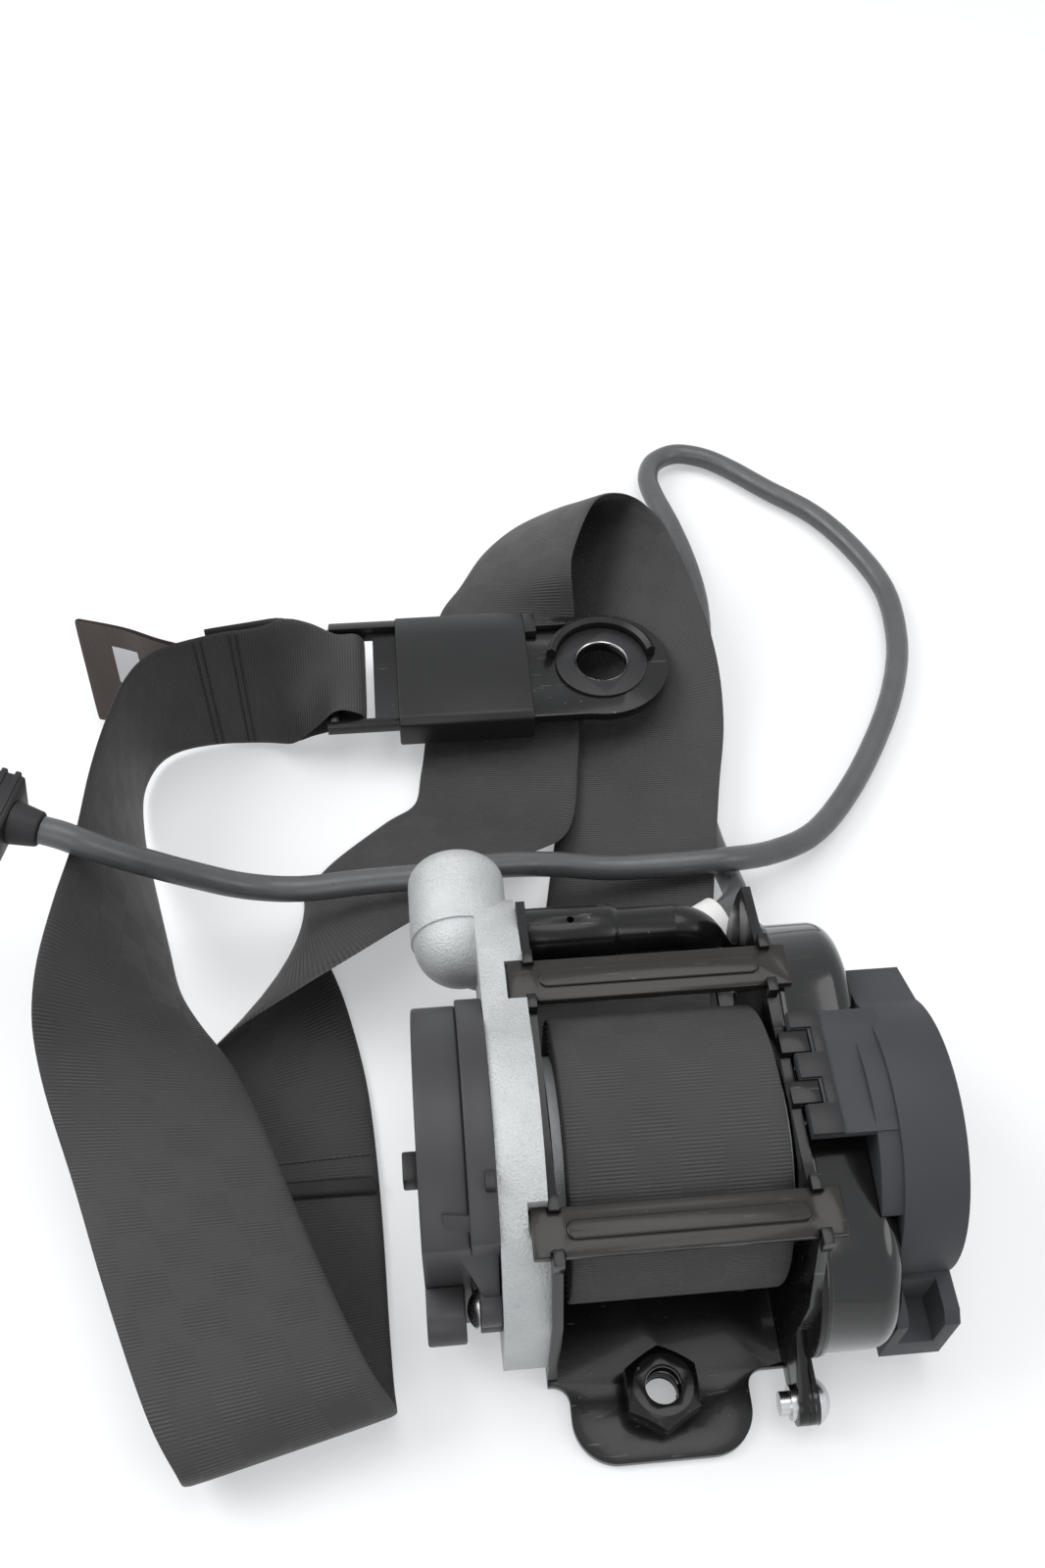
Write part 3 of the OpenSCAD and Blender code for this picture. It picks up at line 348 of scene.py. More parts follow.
# %% Trees of Geometry Nodes
class Grower:
    """A Geometry Nodes tree with named inputs, built from short lines."""

    def __init__(self, name, **inputs):
        self.tree = bpy.data.node_groups.new(name, "GeometryNodeTree")
        face = self.tree.interface
        face.new_socket("Geometry", in_out="INPUT", socket_type="NodeSocketGeometry")
        for key, value in inputs.items():
            kind = "NodeSocketInt" if isinstance(value, int) else "NodeSocketFloat"
            face.new_socket(key, in_out="INPUT", socket_type=kind).default_value = value
        face.new_socket("Geometry", in_out="OUTPUT", socket_type="NodeSocketGeometry")
        self.source, self.sink = self.tree.nodes.new("NodeGroupInput"), self.tree.nodes.new("NodeGroupOutput")

    def given(self, name):
        return self.source.outputs[name]

    def node(self, kind, settings=None, sockets=None, out=0):
        made = self.tree.nodes.new(kind)
        for key, value in (settings or {}).items():
            setattr(made, key, value)
        for key, value in (sockets or {}).items():
            if isinstance(value, bpy.types.NodeSocket):
                self.tree.links.new(value, made.inputs[key])
            else:
                made.inputs[key].default_value = value
        return made.outputs[out]

    def grown(self, shape, finish):
        whole = self.node("GeometryNodeRealizeInstances", {}, {"Geometry": shape})
        clad = self.node("GeometryNodeSetMaterial", {}, {"Geometry": whole, "Material": FINISH[finish]})
        self.tree.links.new(clad, self.sink.inputs[0])
        return self

    def on(self, piece, **values):
        modifier = piece.modifiers.new("grow", "NODES")
        modifier.node_group = self.tree
        for item in self.tree.interface.items_tree:
            if item.item_type == "SOCKET" and item.in_out == "INPUT" and item.name in values:
                modifier[item.identifier] = values[item.name]
        return applied(piece)


def polyline(name, points):
    mesh = bpy.data.meshes.new(name)
    mesh.from_pydata([tuple(p) for p in points], [(i, i + 1) for i in range(len(points) - 1)], [])
    return new_object(name, mesh)


# %% The lead itself
tube = Grower("tube_along", Radius=LEAD_R * MM, Sides=20)
line = tube.node("GeometryNodeMeshToCurve", {}, {"Mesh": tube.given("Geometry")})
run = tube.node("GeometryNodeSplineParameter", out=1)
line = tube.node("GeometryNodeStoreNamedAttribute", {"data_type": "FLOAT"},
                 {"Geometry": line, "Name": "along", "Value": run})
section = tube.node("GeometryNodeCurvePrimitiveCircle", {},
                    {"Radius": tube.given("Radius"), "Resolution": tube.given("Sides")})
tube.grown(tube.node("GeometryNodeCurveToMesh", {},
                     {"Curve": line, "Profile Curve": section, "Fill Caps": True}), "lead_rubber")
lead = tube.on(polyline("igniter_lead_sleeve", lead_path), Radius=LEAD_R * MM, Sides=20)
settle(lead, "retractor", "lead_rubber", stands_for=["igniter_lead"])
print("lead faces", len(lead.data.polygons))

# %% [markdown]
# ## Webbing
# The strap is one long ribbon that leaves the roll under the frame, folds twice and ends in the
# anchor's slot. It is lofted straight from its stations: a middle, a direction across, and half a
# width. A cloth simulation would lose the flat folds, so the ribbon is modelled directly.


# %% Ribbon maker
def unit_rows(v):
    return v / np.linalg.norm(v, axis=1)[:, None]


def ribbon(name, mids, across, halves, thick, columns=18):
    """A closed ribbon with thin edges, and the frame of each row for what is sewn to it."""
    mids, across = np.array(mids) * MM, unit_rows(np.array(across))
    halves = np.array(halves).reshape(-1, 1) * MM
    ahead = unit_rows(np.gradient(mids, axis=0))
    out = unit_rows(np.cross(across, ahead))
    along = np.concatenate([[0], np.cumsum(np.linalg.norm(np.diff(mids, axis=0), axis=1))])
    u = np.sin(np.linspace(-1, 1, columns + 1) * math.pi / 2)
    bead = 1 + 0.16 * np.exp(-(((np.abs(u) - 0.93) / 0.035) ** 2))
    h = thick * MM / 2 * np.sqrt(1 - np.abs(u) ** 10) * bead
    ring_u, ring_h = np.concatenate([u, u[-2:0:-1]]), np.concatenate([h, -h[-2:0:-1]])
    count, size = len(mids), len(ring_u)
    points = (mids[:, None] + across[:, None] * halves[:, None] * ring_u[None, :, None]
              + out[:, None] * ring_h[None, :, None]).reshape(-1, 3)
    faces = [(i * size + j, i * size + (j + 1) % size, (i + 1) * size + (j + 1) % size, (i + 1) * size + j)
             for i in range(count - 1) for j in range(size)]
    faces += [tuple(range(size))[::-1], tuple((count - 1) * size + j for j in range(size))]
    piece = from_points(name, points, faces, along=np.repeat(along, size), across=(halves * ring_u).ravel())
    shell = bmesh.new()
    shell.from_mesh(piece.data)
    bmesh.ops.recalc_face_normals(shell, faces=shell.faces)
    shell.to_mesh(piece.data)
    shell.free()
    return piece, {"mid": mids, "across": across, "out": out, "half": halves, "along": along}


# %% Strap
FULL, MID, SLOT = 23.5, 21, 16
STRAP = [
    (3, 56, 3.3, 1, 0, 0, FULL), (3, 82, 3.5, 1, 0, 0, FULL), (5, 104, 3, 0.99, -0.1, 0.08, FULL),
    (9.5, 127, 5.6, 0.97, -0.17, 0.2, FULL), (18, 167, 5.9, 0.97, -0.18, 0.21, FULL),
    (24, 193, 6, 0.97, -0.1, 0.22, FULL), (25, 216, 10.4, 0.9, 0.1, 0.4, FULL),
    (20, 247, 15.5, 0.77, -0.02, 0.62, FULL), (20, 273, 17, 0.52, -0.51, 0.68, FULL),
    (20, 283.5, 17.5, 0.22, -0.7, 0.7, FULL), (5, 278, 17.5, 0.45, -0.55, 0.7, FULL),
    (-6, 263, 16.5, 0.57, -0.57, 0.59, FULL), (-12, 250, 14.5, 0.72, -0.45, 0.52, FULL),
    (-15.5, 238, 6.4, 0.9, -0.36, 0.2, FULL), (-18, 216, 5.5, 0.94, -0.3, 0.15, FULL),
    (-20, 196, 4.2, 0.98, -0.16, 0.08, FULL), (-22, 182, 3.6, 0.99, -0.08, 0.06, FULL),
    (-26, 164, 4, 0.93, -0.35, 0.1, FULL), (-38, 154, 7.6, 0.8, -0.52, 0.28, FULL),
    (-57, 139, 10.8, 0.64, -0.64, 0.43, FULL), (-70, 127, 13.5, 0.42, -0.72, 0.54, FULL),
    (-80, 119, 12.8, 0, -0.86, 0.5, FULL), (-87, 108, 10.8, -0.45, -0.78, 0.4, FULL),
    (-88, 93, 8, -0.8, -0.5, 0.28, FULL), (-86.5, 72, 3.5, -0.97, -0.15, 0.1, FULL),
    (-85, 48, 1.4, -1, 0, 0, FULL), (-84, 20, 1.4, -0.99, -0.12, 0, FULL), (-83, 3, 3, -0.98, -0.2, 0, FULL),
    (-82, -6, 10, -0.97, -0.23, 0, FULL), (-82.5, -6, 18.5, -0.97, -0.22, 0, FULL),
    (-88, 3, 25, -0.99, -0.13, 0, FULL), (-98.4, 28, 26, -1, -0.05, 0, FULL),
    (-108, 54, 27, -1, 0, 0.05, FULL),
    (-116, 76, 31, -0.93, -0.04, 0.36, FULL), (-120.6, 91, 37, -0.7, -0.08, 0.71, FULL),
    (-122.3, 107, 36.2, -0.5, 0.08, 0.86, FULL), (-123.4, 125, 32.2, -0.35, 0.16, 0.92, FULL),
    (-126, 148, 28, -0.2, 0.15, 0.96, FULL), (-127.5, 165, 25.5, -0.07, 0.1, 0.99, FULL),
    (-127.2, 179.5, 24.7, 0.03, 0.03, 1, FULL), (-125, 188.5, 24.5, 0.05, -0.02, 1, FULL),
    (-121, 194.5, 24.5, 0.03, -0.05, 1, FULL), (-114, 198.4, 24.5, 0, -0.03, 1, FULL),
    (-101, 200.8, 24.5, 0, 0.03, 1, FULL), (-88, 202.6, 23.4, 0, 0.25, 0.97, MID),
    (-78, 207.6, 21, 0, 0.85, 0.53, SLOT + 1), (-70, 210, 20, 0, 1, 0, SLOT),
    (-63.4, 210, 19.2, 0, 1, 0, SLOT),
    (-61, 210, 16, 0, 1, 0, SLOT), (-63.4, 210, 12.8, 0, 1, 0, SLOT), (-70, 210, 12, 0, 1, 0, SLOT),
    (-78, 212.4, 13.4, 0, 0.87, 0.49, SLOT + 1), (-89, 207, 20.8, 0, 0.27, 0.96, MID),
    (-104, 202.7, 24.4, 0, 0.03, 1, FULL)]
rows = smooth_run(STRAP, 7)
strap, lie = ribbon("webbing_strap_cloth", rows[:, :3], rows[:, 3:6], rows[:, 6], 1.2)
settle(strap, "retractor", "webbing", stands_for=["webbing_strap"], sharp=60)

# %% [markdown]
# ## Webbing roll
# On the spool the same webbing is wound in a spiral, and its edges show as fine rings at both ends.
# Geometry Nodes draw a spiral and sweep a flat section along it, so the windings are real.

# %% Roll
CORE_R, ROLL_R, TURNS = 17, 32, 12
SPOOL_Y, SPOOL_Z, SPOOL_X = 44, 35.2, 3
roll = Grower("wound_web", Inner=(CORE_R + 0.7) * MM, Outer=(ROLL_R - 0.62) * MM, Turns=float(TURNS))
coil = roll.node("GeometryNodeCurveSpiral", {},
                 {"Resolution": 80, "Rotations": roll.given("Turns"), "Height": 0.0,
                  "Start Radius": roll.given("Inner"), "End Radius": roll.given("Outer")})
coil = roll.node("GeometryNodeStoreNamedAttribute", {"data_type": "FLOAT"},
                 {"Geometry": coil, "Name": "along",
                  "Value": roll.node("GeometryNodeSplineParameter", out=1)})
flat = roll.node("GeometryNodeMeshToCurve", {}, {"Mesh": roll.given("Geometry")})
wound = roll.node("GeometryNodeCurveToMesh", {}, {"Curve": coil, "Profile Curve": flat, "Fill Caps": True})
wound = roll.node("GeometryNodeTransform", {},
                  {"Geometry": wound, "Rotation": (0, math.pi / 2, 0),
                   "Translation": mm(SPOOL_X, SPOOL_Y, SPOOL_Z)})
roll.grown(wound, "webbing")
cut = [(0.3, -23.5), (0.56, -23.1), (0.58, -21), (0.58, 0), (0.58, 21), (0.56, 23.1), (0.3, 23.5)]
cut = cut + [(-x, y) for x, y in cut[::-1]]
profile = bpy.data.meshes.new("web_section")
profile.from_pydata([mm(x, y, 0) for x, y in cut], [(i, (i + 1) % len(cut)) for i in range(len(cut))], [])
wound_web = roll.on(new_object("webbing_roll_wound", profile), Turns=float(TURNS))
spread = np.array([v.co.x for v in wound_web.data.vertices], np.float32) - SPOOL_X * MM
wound_web.data.attributes.new("across", "FLOAT", "POINT").data.foreach_set("value", spread)
shell = bmesh.new()
shell.from_mesh(wound_web.data)
bmesh.ops.recalc_face_normals(shell, faces=shell.faces)
shell.to_mesh(wound_web.data)
shell.free()
settle(wound_web, "spool", "webbing", stands_for=["webbing_roll"], sharp=60)
print("roll faces", len(wound_web.data.polygons))

# %% [markdown]
# ## Sewn tag
# A dark brown tag is sewn to the end of the webbing. It is a short ribbon folded back on itself,
# with a plain pale patch on its outer leaf.

# %% Tag
TAG = [(-105, 205.2, 22, 0, 0.05, 1, 14), (-118, 208, 21, -0.05, 0.25, 0.96, 15),
    (-130, 214, 18, -0.08, 0.42, 0.9, 16), (-143.5, 219.5, 16.5, -0.09, 0.48, 0.87, 16)]
TAG_GAP = 0.85
leaf = smooth_run(TAG, 8)
side = unit_rows(np.cross(unit_rows(leaf[:, 3:6]), unit_rows(np.gradient(leaf[:, :3], axis=0)))) * TAG_GAP
turn_back = leaf[-1:, :3] + [(-0.6, 0, 0)]
loop = np.vstack([leaf[:, :3] + side, leaf[-1:, :3] + side[-1] * 0.75 + (-0.45, 0, 0), turn_back,
                  leaf[-1:, :3] - side[-1] * 0.75 + (-0.45, 0, 0), (leaf[:, :3] - side)[::-1]])
lean = np.vstack([leaf[:, 3:6], np.repeat(leaf[-1:, 3:6], 3, 0), leaf[::-1, 3:6]])
wide = np.concatenate([leaf[:, 6], np.repeat(leaf[-1, 6], 3), leaf[::-1, 6]])
tag, tag_lie = ribbon("webbing_tag_leaf", loop, lean, wide, 0.6, 10)
settle(tag, "retractor", "tag_fabric", stands_for=["webbing_tag"], sharp=60)
print("tag", round(float(tag_lie["along"][-1]), 3), "m")

# %% [markdown]
# ## Edges on the metal and plastic pieces
# The solids have razor edges, and real pieces catch light on theirs. A copy of each solid is joined
# up, its flat faces are made whole, and a Bevel modifier rounds what is sharp.


# %% Dress the solids
def dressed(node, width, finish=None, segments=2, sharp=35):
    shell = bmesh.new()
    shell.from_mesh(nodes[node].data)
    bmesh.ops.remove_doubles(shell, verts=shell.verts, dist=1e-6)
    bmesh.ops.dissolve_limit(shell, angle_limit=math.radians(0.6), verts=shell.verts, edges=shell.edges)
    mesh = bpy.data.meshes.new(node + "_skin")
    shell.to_mesh(mesh)
    shell.free()
    piece = new_object(node + "_skin", mesh)
    edge = piece.modifiers.new("edge", "BEVEL")
    edge.width, edge.segments = width * MM, segments
    edge.limit_method, edge.angle_limit = "ANGLE", math.radians(38)
    return settle(applied(piece), body_of[node], slot_of[node], finish, [node], sharp)


EDGES = {"frame": 0.35, "weld_nut": 0.25, "lower_tie_bar": 0.35, "upper_tie_bar": 0.35, "lock_housing": 0.5,
         "lock_ring": 0.35, "mechanism_cover": 0.6, "cover_peg": 0.5, "sensor_housing": 0.5,
         "guide_plate": 0.2,
         "pretensioner_tube": 0.25, "ball_pan": 0.25, "spring_cover": 0.8, "anchor_plate": 0.4,
         "anchor_ring": 0.3,
         "cable_clip": 0.4, "igniter_plug": 0.4, "lead_boot": 0.4, "lead_connector": 1.0}
# The lock-side plastics take the lighter copy of the black plastic: painted light.
LOOK = dict.fromkeys(("mechanism_cover", "lock_ring", "sensor_housing"), "lamp_lit_black_plastic")
for node, width in EDGES.items():
    made = dressed(node, width, LOOK.get(node))
    print(node, len(made.data.polygons))
REMADE = {"webbing_strap", "webbing_tag", "webbing_roll", "igniter_lead", "anchor_cover"}
for node in sorted(set(nodes) - set(EDGES) - REMADE):
    nodes[node].data.materials.clear()
    nodes[node].data.materials.append(FINISH[slot_of[node]])

# %% [markdown]
# ## Moulded details of the lock side
# The plastic ring carries a wedge panel down to the screw tower, a small latch, and its cover a
# plain white sticker and a blue paint dot. Convex shapes come from the hull of a few corners.


# %% Blocks
def rounded(piece, width, segments=2):
    edge = piece.modifiers.new("edge", "BEVEL")
    edge.width, edge.segments = width * MM, segments
    edge.limit_method, edge.angle_limit = "ANGLE", math.radians(30)
    return applied(piece)


def hull_block(name, corners, body, slot, width=0.4, finish=None, stands_for=()):
    """The convex shape round some corners, with rounded edges."""
    shell = bmesh.new()
    for corner in corners:
        shell.verts.new(mm(*corner))
    bmesh.ops.convex_hull(shell, input=shell.verts)
    bmesh.ops.delete(shell, geom=[v for v in shell.verts if not v.link_faces], context="VERTS")
    bmesh.ops.dissolve_limit(shell, angle_limit=math.radians(1), verts=shell.verts, edges=shell.edges)
    bmesh.ops.recalc_face_normals(shell, faces=shell.faces)
    mesh = bpy.data.meshes.new(name)
    shell.to_mesh(mesh)
    shell.free()
    return settle(rounded(new_object(name, mesh), width), body, slot, finish, stands_for)


def box_corners(low, high):
    return [(x, y, z) for x in (low[0], high[0]) for y in (low[1], high[1]) for z in (low[2], high[2])]


def prism_x(x0, x1, outline):
    return [(x, y, z) for x in (x0, x1) for y, z in outline]


# The wedge and the screw tower also take the lighter copy of the black plastic: painted light.
hull_block("ring_wedge", [(-46.8, 21.6, 64.8), (-35.5, 20.4, 63.9), (-46.1, 18.6, 60), (-39, 11.6, 43),
                          (-35.5, 11.6, 43), (-46.8, 24, 60), (-35.5, 24, 60), (-39, 17.5, 38),
                          (-35.5, 17.5, 38)],
           "retractor", "black_plastic", 0.5, "lamp_lit_black_plastic")
hull_block("screw_tower", prism_x(-39.8, -35.3, [(12.5 + 5.1 * math.cos(a), 38 + 5.1 * math.sin(a))
                                                 for a in np.linspace(0, 2 * math.pi, 24, endpoint=False)]),
           "retractor", "black_plastic", 0.4, "lamp_lit_black_plastic")
hull_block("ring_latch", box_corners((-37.6, 24.6, 66.2), (-35.4, 28.4, 69.6)),
           "retractor", "black_plastic", 0.3)
hull_block("face_sticker", box_corners((-51.33, 18, 20), (-51.19, 34, 52)),
           "retractor", "white_plastic", 0.04, "paper")
dot = [(52 + 4.6 * math.cos(a), 54 + 4.6 * math.sin(a))
       for a in np.linspace(0, 2 * math.pi, 28, endpoint=False)]
hull_block("face_dot", prism_x(-51.3, -51.19, dot), "retractor", "white_plastic", 0.03, "blue_dot")
print("lock side details made")

# %% [markdown]
# ## End anchor details
# The anchor's plate wears a plastic cover whose back edge slopes, a shroud over one arm of the slot,
# and a collar round the bolt eye with a bright worn rim.


# %% Turned and arched pieces
def turned(name, profile, centre, body, slot, sweep=(0, 360), steps=64, finish=None, sharp=35):
    """A closed outline of (radius, height) points, turned about the Z axis through centre."""
    whole = sweep[1] - sweep[0] >= 360
    turns = np.radians(np.linspace(*sweep, steps, endpoint=not whole))
    size = len(profile)
    points = [mm(centre[0] + r * math.cos(a), centre[1] + r * math.sin(a), z)
              for a in turns for r, z in profile]
    count = steps if whole else steps - 1
    faces = [(i * size + j, i * size + (j + 1) % size, (i + 1) % steps * size + (j + 1) % size,
              (i + 1) % steps * size + j) for i in range(count) for j in range(size)]
    if not whole:
        faces += [tuple(range(size)), tuple((steps - 1) * size + j for j in range(size))[::-1]]
    piece = from_points(name, points, faces)
    shell = bmesh.new()
    shell.from_mesh(piece.data)
    bmesh.ops.recalc_face_normals(shell, faces=shell.faces)
    shell.to_mesh(piece.data)
    shell.free()
    return settle(piece, body, slot, finish, sharp=sharp)


EYE = (11.5, 210)
hull_block("anchor_cover_shell", prism_x(-51, -11, [(187.5, 10.5), (187.5, 19.4), (189.5, 21.3),
                                                    (221.5, 21.5), (232.5, 18.6), (232.5, 10.5)]),
           "anchor", "black_plastic", 0.7, "deep_plastic", ["anchor_cover"])
hull_block("anchor_lug", prism_x(-11.2, -7.4, [(221.6, 17.7), (221.6, 20.8), (231.4, 18.4), (231.4, 17.7)]),
           "anchor", "black_plastic", 0.35, "deep_plastic")
hull_block("arm_shroud", prism_x(-71.5, -50.8, [(227.3, 17.7), (227.3, 20.2), (231.8, 18.4), (231.8, 13),
                                                (230.2, 13)]),
           "anchor", "black_plastic", 0.5, "deep_plastic")
turned("eye_collar", [(14.2, 17.6), (14.2, 20.4), (15.6, 21.4), (16.9, 20.4), (16.9, 17.6)], EYE, "anchor",
       "black_plastic", (8, 168), 40, "deep_plastic")
turned("eye_rim", [(7.78, 14.7), (7.78, 18.2), (8.0, 18.45), (8.15, 18.2), (8.15, 17.6),
                   (8.0, 17.55), (8.0, 14.7)],
       EYE, "anchor", "steel")
hull_block("collar_rib", box_corners((-11.2, 224.6, 17.7), (2, 226, 20)),
           "anchor", "black_plastic", 0.3, "deep_plastic")
print("anchor details made")

# %% [markdown]
# ## Stitches
# Two rows of thread close the loop at the anchor, and one row crosses the strap further back. Each
# row is a line on the cloth; Geometry Nodes walk along it and lay one small bead per stitch.


# %% Stitch rows
def row_on_cloth(distance, width, lift=0.75):
    """A line across the strap, `distance` metres along it, on the side that faces up or forward."""
    at = int(np.argmin(np.abs(lie["along"] - distance)))
    face = lie["out"][at] * np.sign(lie["out"][at] @ (0, -0.6, 0.8))
    return [lie["mid"][at] + lie["across"][at] * lie["half"][at] * u + face * lift * MM
            for u in np.linspace(-width, width, 24)]


def near(point):
    return float(lie["along"][np.argmin(np.linalg.norm(lie["mid"] - np.array(mm(*point)), axis=1))])


sewn = Grower("sewn_row", Pitch=1.6 * MM, Thread=0.42 * MM)
walk = sewn.node("GeometryNodeMeshToCurve", {}, {"Mesh": sewn.given("Geometry")})
walk = sewn.node("GeometryNodeResampleCurve", {"mode": "LENGTH"},
                 {"Curve": walk, "Length": sewn.given("Pitch")})
bead = sewn.node("GeometryNodeMeshIcoSphere", {}, {"Radius": sewn.given("Thread"), "Subdivisions": 2})
heading = sewn.node("FunctionNodeAlignRotationToVector", {"axis": "X"},
                    {"Vector": sewn.node("GeometryNodeInputTangent")})
beads = sewn.node("GeometryNodeInstanceOnPoints", {}, {"Points": walk, "Instance": bead, "Rotation": heading,
                                                       "Scale": (1.7, 0.8, 0.6)})
sewn.grown(beads, "thread")


def stitches(name, lines, finish="thread"):
    points = [p for line in lines for p in line]
    edges, start = [], 0
    for line in lines:
        edges += [(start + i, start + i + 1) for i in range(len(line) - 1)]
        start += len(line)
    mesh = bpy.data.meshes.new(name)
    mesh.from_pydata([tuple(p) for p in points], edges, [])
    piece = sewn.on(new_object(name, mesh), Pitch=1.6 * MM, Thread=0.42 * MM)
    settle(piece, "retractor", "webbing", finish, sharp=80)
    return len(piece.data.polygons)


loop_seam, back_seam = near((-101, 200.8, 24.5)), near((-85.7, 62, 2.6))
print("stitches", stitches("loop_stitches", [row_on_cloth(loop_seam + d * MM, 0.93)
                                             for d in (-5.2, -3.8, 3.8, 5.2)]),
      stitches("strap_stitches", [row_on_cloth(back_seam + d * MM, 0.9) for d in (-0.9, 0.9)], "pale_thread"))
hull_block("strap_fold", [(x, y, z) for x in (-108.6, -62.6)
                          for y, z in ((52.6, 2.1), (53.4, 3.4), (56.6, 3.7),
                                                                        (57.6, 2.6))],
           "retractor", "webbing", 0.5, "thread")

# %% [markdown]
# ## Patch on the tag
# The printed area of the tag is left as a plain grey patch.

# %% Tag patch
patch_rows, patch_cols = np.arange(13, 19), np.linspace(-0.1, 0.62, 5)
face = unit_rows(np.cross(unit_rows(leaf[:, 3:6]), unit_rows(np.gradient(leaf[:, :3], axis=0))))
face *= np.sign(face @ (0, -0.6, 0.8))[:, None]
patch = [[leaf[i, :3] + unit_rows(leaf[i:i + 1, 3:6])[0] * leaf[i, 6] * u + face[i] * (TAG_GAP + 0.42)
          for u in patch_cols] for i in patch_rows]
corners = [tuple(p * MM) for row in patch for p in row]
wide_by = len(patch_cols)
tiles = [(i * wide_by + j, i * wide_by + j + 1, (i + 1) * wide_by + j + 1, (i + 1) * wide_by + j)
         for i in range(len(patch_rows) - 1) for j in range(wide_by - 1)]
settle(from_points("tag_patch", corners, tiles), "retractor", "tag_fabric", "grey_paper")
print("tag patch", len(tiles), "faces")

# %% [markdown]
# ## Right side details
# A flange of the side plate stands above the tube, a tongue of its foot shows below it, and a dark
# rim frames the two slots that hold the spring cover's arm on its hooks.


# %% Flange and rim
def boxes(name, spans, body, slot, width=0.3, finish=None):
    """Several boxes as one piece."""
    shell = bmesh.new()
    for low, high in spans:
        made = bmesh.ops.create_cube(shell, size=1)["verts"]
        for vert in made:
            vert.co = mm(*(low[k] if vert.co[k] < 0 else high[k] for k in range(3)))
    mesh = bpy.data.meshes.new(name)
    shell.to_mesh(mesh)
    shell.free()
    return settle(rounded(new_object(name, mesh), width), body, slot, finish)


hull_block("ear_flange", prism_x(29.05, 31.15, [(80, 59.6), (96.6, 58.8), (99.4, 57.6), (101, 52),
                                                (102.4, 38), (101, 29), (97.6, 29), (90, 36), (80, 50)]),
           "retractor", "black_steel", 0.3)
boxes("back_tongue", [((24, 81, 0.1), (31.1, 105, 1.7)), ((30, 96, 0.1), (37, 105, 1.7))],
      "retractor", "black_steel")
boxes("hook_rim", [((31.7, 33, 62.6), (38.6, 40, 63.6)), ((31.7, 46, 62.6), (38.6, 52, 63.6)),
                   ((31.7, 58, 62.6), (38.6, 62, 63.6)), ((36.2, 39.5, 62.6), (38.6, 46.5, 63.6)),
                   ((36.2, 51.5, 62.6), (38.6, 58.5, 63.6))], "retractor", "black_plastic", 0.25)
print("right side details made")

# %% [markdown]
# ## Thread in the nut and ribs on the connector
# Both repeat one shape along a path, so Geometry Nodes make them: a spiral swept with a small
# section, and a row of thin collars.

# %% Nut thread
NUT_R, NUT_LOW, NUT_HIGH = 4.25, 0.6, 10.4
screw = Grower("screw_thread", Radius=(NUT_R - 0.02) * MM, Turns=7.0, Rise=(NUT_HIGH - NUT_LOW) * MM)
helix = screw.node("GeometryNodeCurveSpiral", {},
                   {"Resolution": 40, "Rotations": screw.given("Turns"), "Height": screw.given("Rise"),
                    "Start Radius": screw.given("Radius"), "End Radius": screw.given("Radius")})
section = screw.node("GeometryNodeCurvePrimitiveCircle", {"mode": "RADIUS"},
                     {"Resolution": 4, "Radius": 0.42 * MM})
screw.grown(screw.node("GeometryNodeCurveToMesh", {},
                       {"Curve": helix, "Profile Curve": section, "Fill Caps": True}), "pan_steel")
nut_thread = screw.on(polyline("nut_thread", [(0, 0, 0), (0, 0, 0.001)]))
nut_thread.data.transform(Matrix.Translation(mm(0, 0, NUT_LOW)))
settle(nut_thread, "retractor", "black_steel", "pan_steel", sharp=50)
print("thread", len(nut_thread.data.polygons), "faces")

# %% Connector ribs
BOOT_AT, LEAD_DIR, BOOT_L = (-137.64, 126.7, 61.09), Vector((-0.947, 0.266, 0.181)), 7
collars = Grower("collar_row", Count=5)
row = collars.node("GeometryNodeMeshLine", {"mode": "OFFSET"},
                   {"Count": collars.given("Count"), "Offset": (0, 0, 3.4 * MM)})
collar = collars.node("GeometryNodeMeshCube", {}, {"Size": (12.9 * MM, 20.9 * MM, 1.5 * MM)})
collars.grown(collars.node("GeometryNodeInstanceOnPoints", {}, {"Points": row, "Instance": collar}),
              "black_plastic")
plug_ribs = collars.on(polyline("connector_ribs", [(0, 0, 0), (0, 0, 0.001)]))
swing = Matrix.Rotation(math.atan2(LEAD_DIR.y, LEAD_DIR.x), 4, "Z")
heading = swing @ Matrix.Rotation(math.acos(LEAD_DIR.z), 4, "Y")
first_rib = Matrix.Translation(mm(0, 0, BOOT_L + 2))
plug_ribs.data.transform(Matrix.Translation(mm(*BOOT_AT)) @ heading @ first_rib)
settle(rounded(plug_ribs, 0.35), "retractor", "black_plastic")
print("connector ribs", len(plug_ribs.data.polygons), "faces")

# %% [markdown]
# ## Floor and light
# The part lies on a white sheet under large soft lights. The floor is pale, shows a little white of
# its own to the camera, and keeps the soft shadow; the world is white to the eye and dimmer as light.

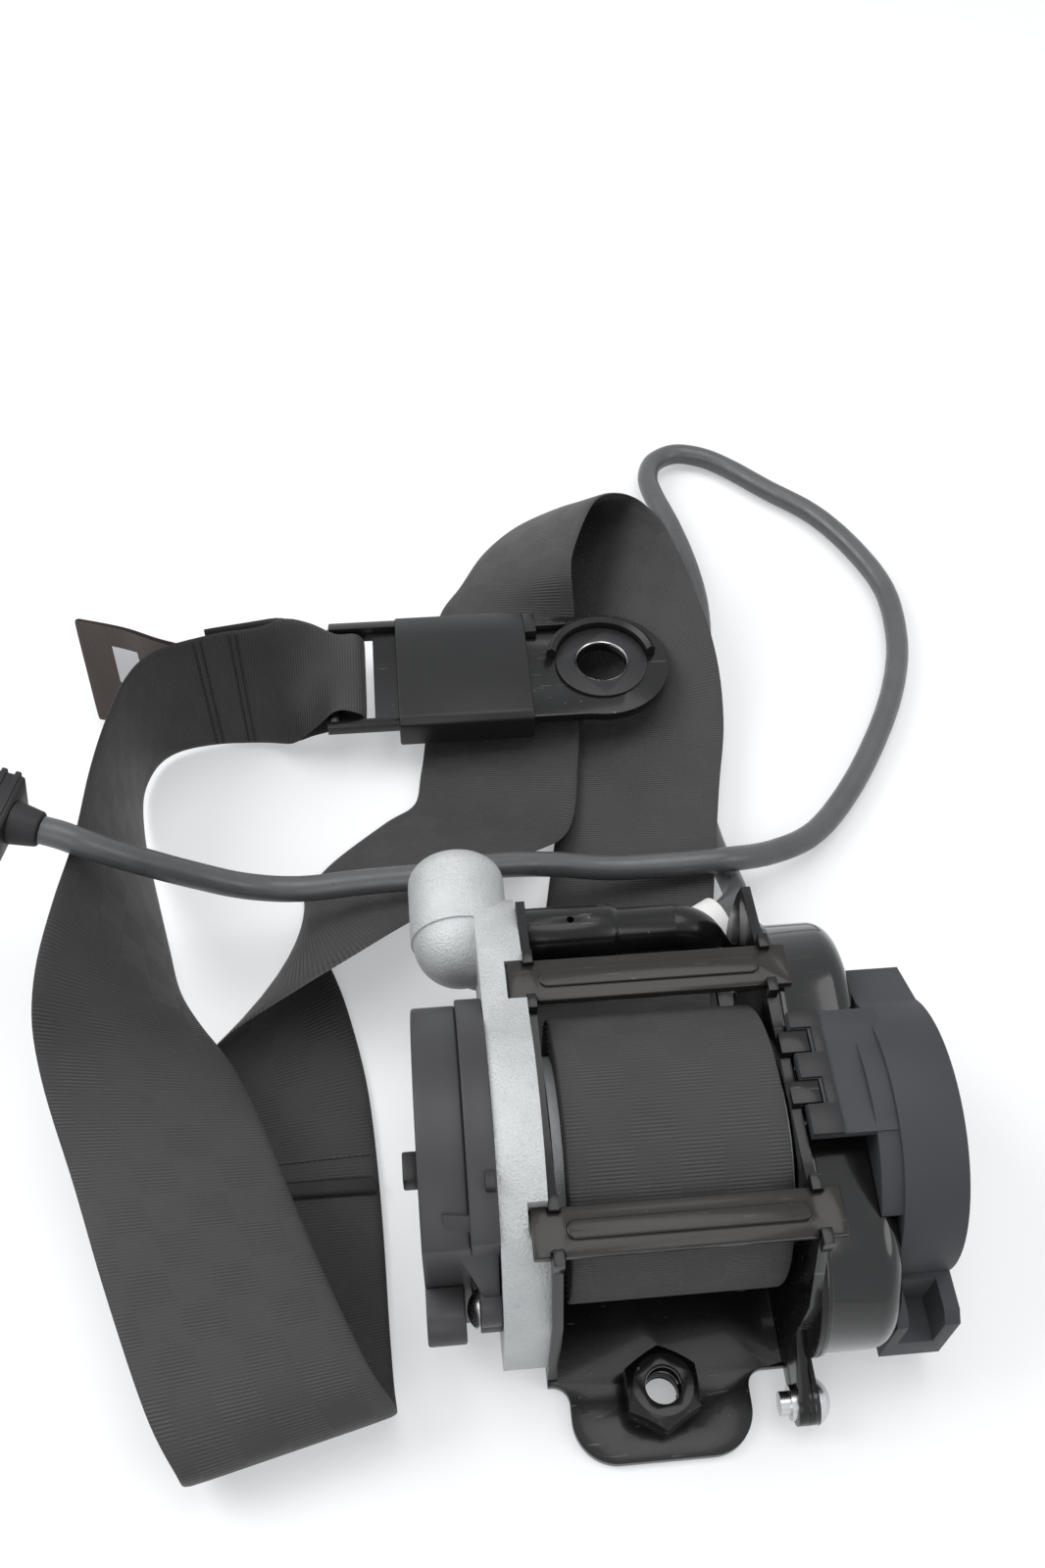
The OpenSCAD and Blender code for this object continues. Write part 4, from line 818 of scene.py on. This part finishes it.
# %% Floor
ground = bmesh.new()
bmesh.ops.create_grid(ground, x_segments=1, y_segments=1, size=3)
floor_mesh = bpy.data.meshes.new("floor")
ground.to_mesh(floor_mesh)
ground.free()
floor = new_object("floor", floor_mesh)
floor.location.z = -0.0004
sheet_white = Finish("floor_white", Roughness=0.6, Specular_IOR_Level=0.2, Emission_Strength=1.0)
looks = [sheet_white.node("LightPath", out=k) for k in (0, 3, 6)]
plain = looks[0].math("MAXIMUM", looks[0], looks[1].math("MAXIMUM", looks[1], looks[2]))
pale = sheet_white.mix(sheet_white.noise(240, 2), (0.62, 0.625, 0.635), (0.65, 0.655, 0.66))
sheet_white.feed(Base_Color=pale,
                 Emission_Color=sheet_white.mix(plain, (0, 0, 0), (0.33, 0.335, 0.34)))
floor.data.materials.append(sheet_white.material)


# %% Lights
def softbox(name, place, aim, size, watts):
    lamp = bpy.data.lights.new(name, "AREA")
    lamp.shape, lamp.size, lamp.energy = "DISK", size, watts
    made = new_object(name, lamp)
    made.location = place
    made.rotation_euler = (Vector(aim) - Vector(place)).to_track_quat("-Z", "Y").to_euler()


softbox("left_window", (-0.9, 0.4, 0.9), (0, 0.1, 0), 0.9, 9)
softbox("top_panel", (0.15, 0.35, 1.3), (0, 0.1, 0), 1.0, 6.5)
softbox("right_panel", (0.9, -0.3, 0.7), (0, 0.1, 0), 0.6, 2.5)
softbox("front_fill", (-0.3, -0.9, 0.8), (0, 0.1, 0), 0.9, 3)
world = bpy.data.worlds.new("studio")
bpy.context.scene.world = world
world.use_nodes = True
sky, links = world.node_tree, world.node_tree.links
back = sky.nodes["Background"]
back.inputs["Color"].default_value = (0.96, 0.98, 1, 1)
path = sky.nodes.new("ShaderNodeLightPath")
seen = sky.nodes.new("ShaderNodeMath")
seen.operation = "MAXIMUM"
links.new(path.outputs["Is Camera Ray"], seen.inputs[0])
links.new(path.outputs["Is Transmission Ray"], seen.inputs[1])
either = sky.nodes.new("ShaderNodeMath")
either.operation = "MAXIMUM"
links.new(seen.outputs[0], either.inputs[0])
links.new(path.outputs["Is Glossy Ray"], either.inputs[1])
level = sky.nodes.new("ShaderNodeMapRange")
level.inputs["To Min"].default_value = 0.42
links.new(either.outputs[0], level.inputs["Value"])
links.new(level.outputs[0], back.inputs["Strength"])
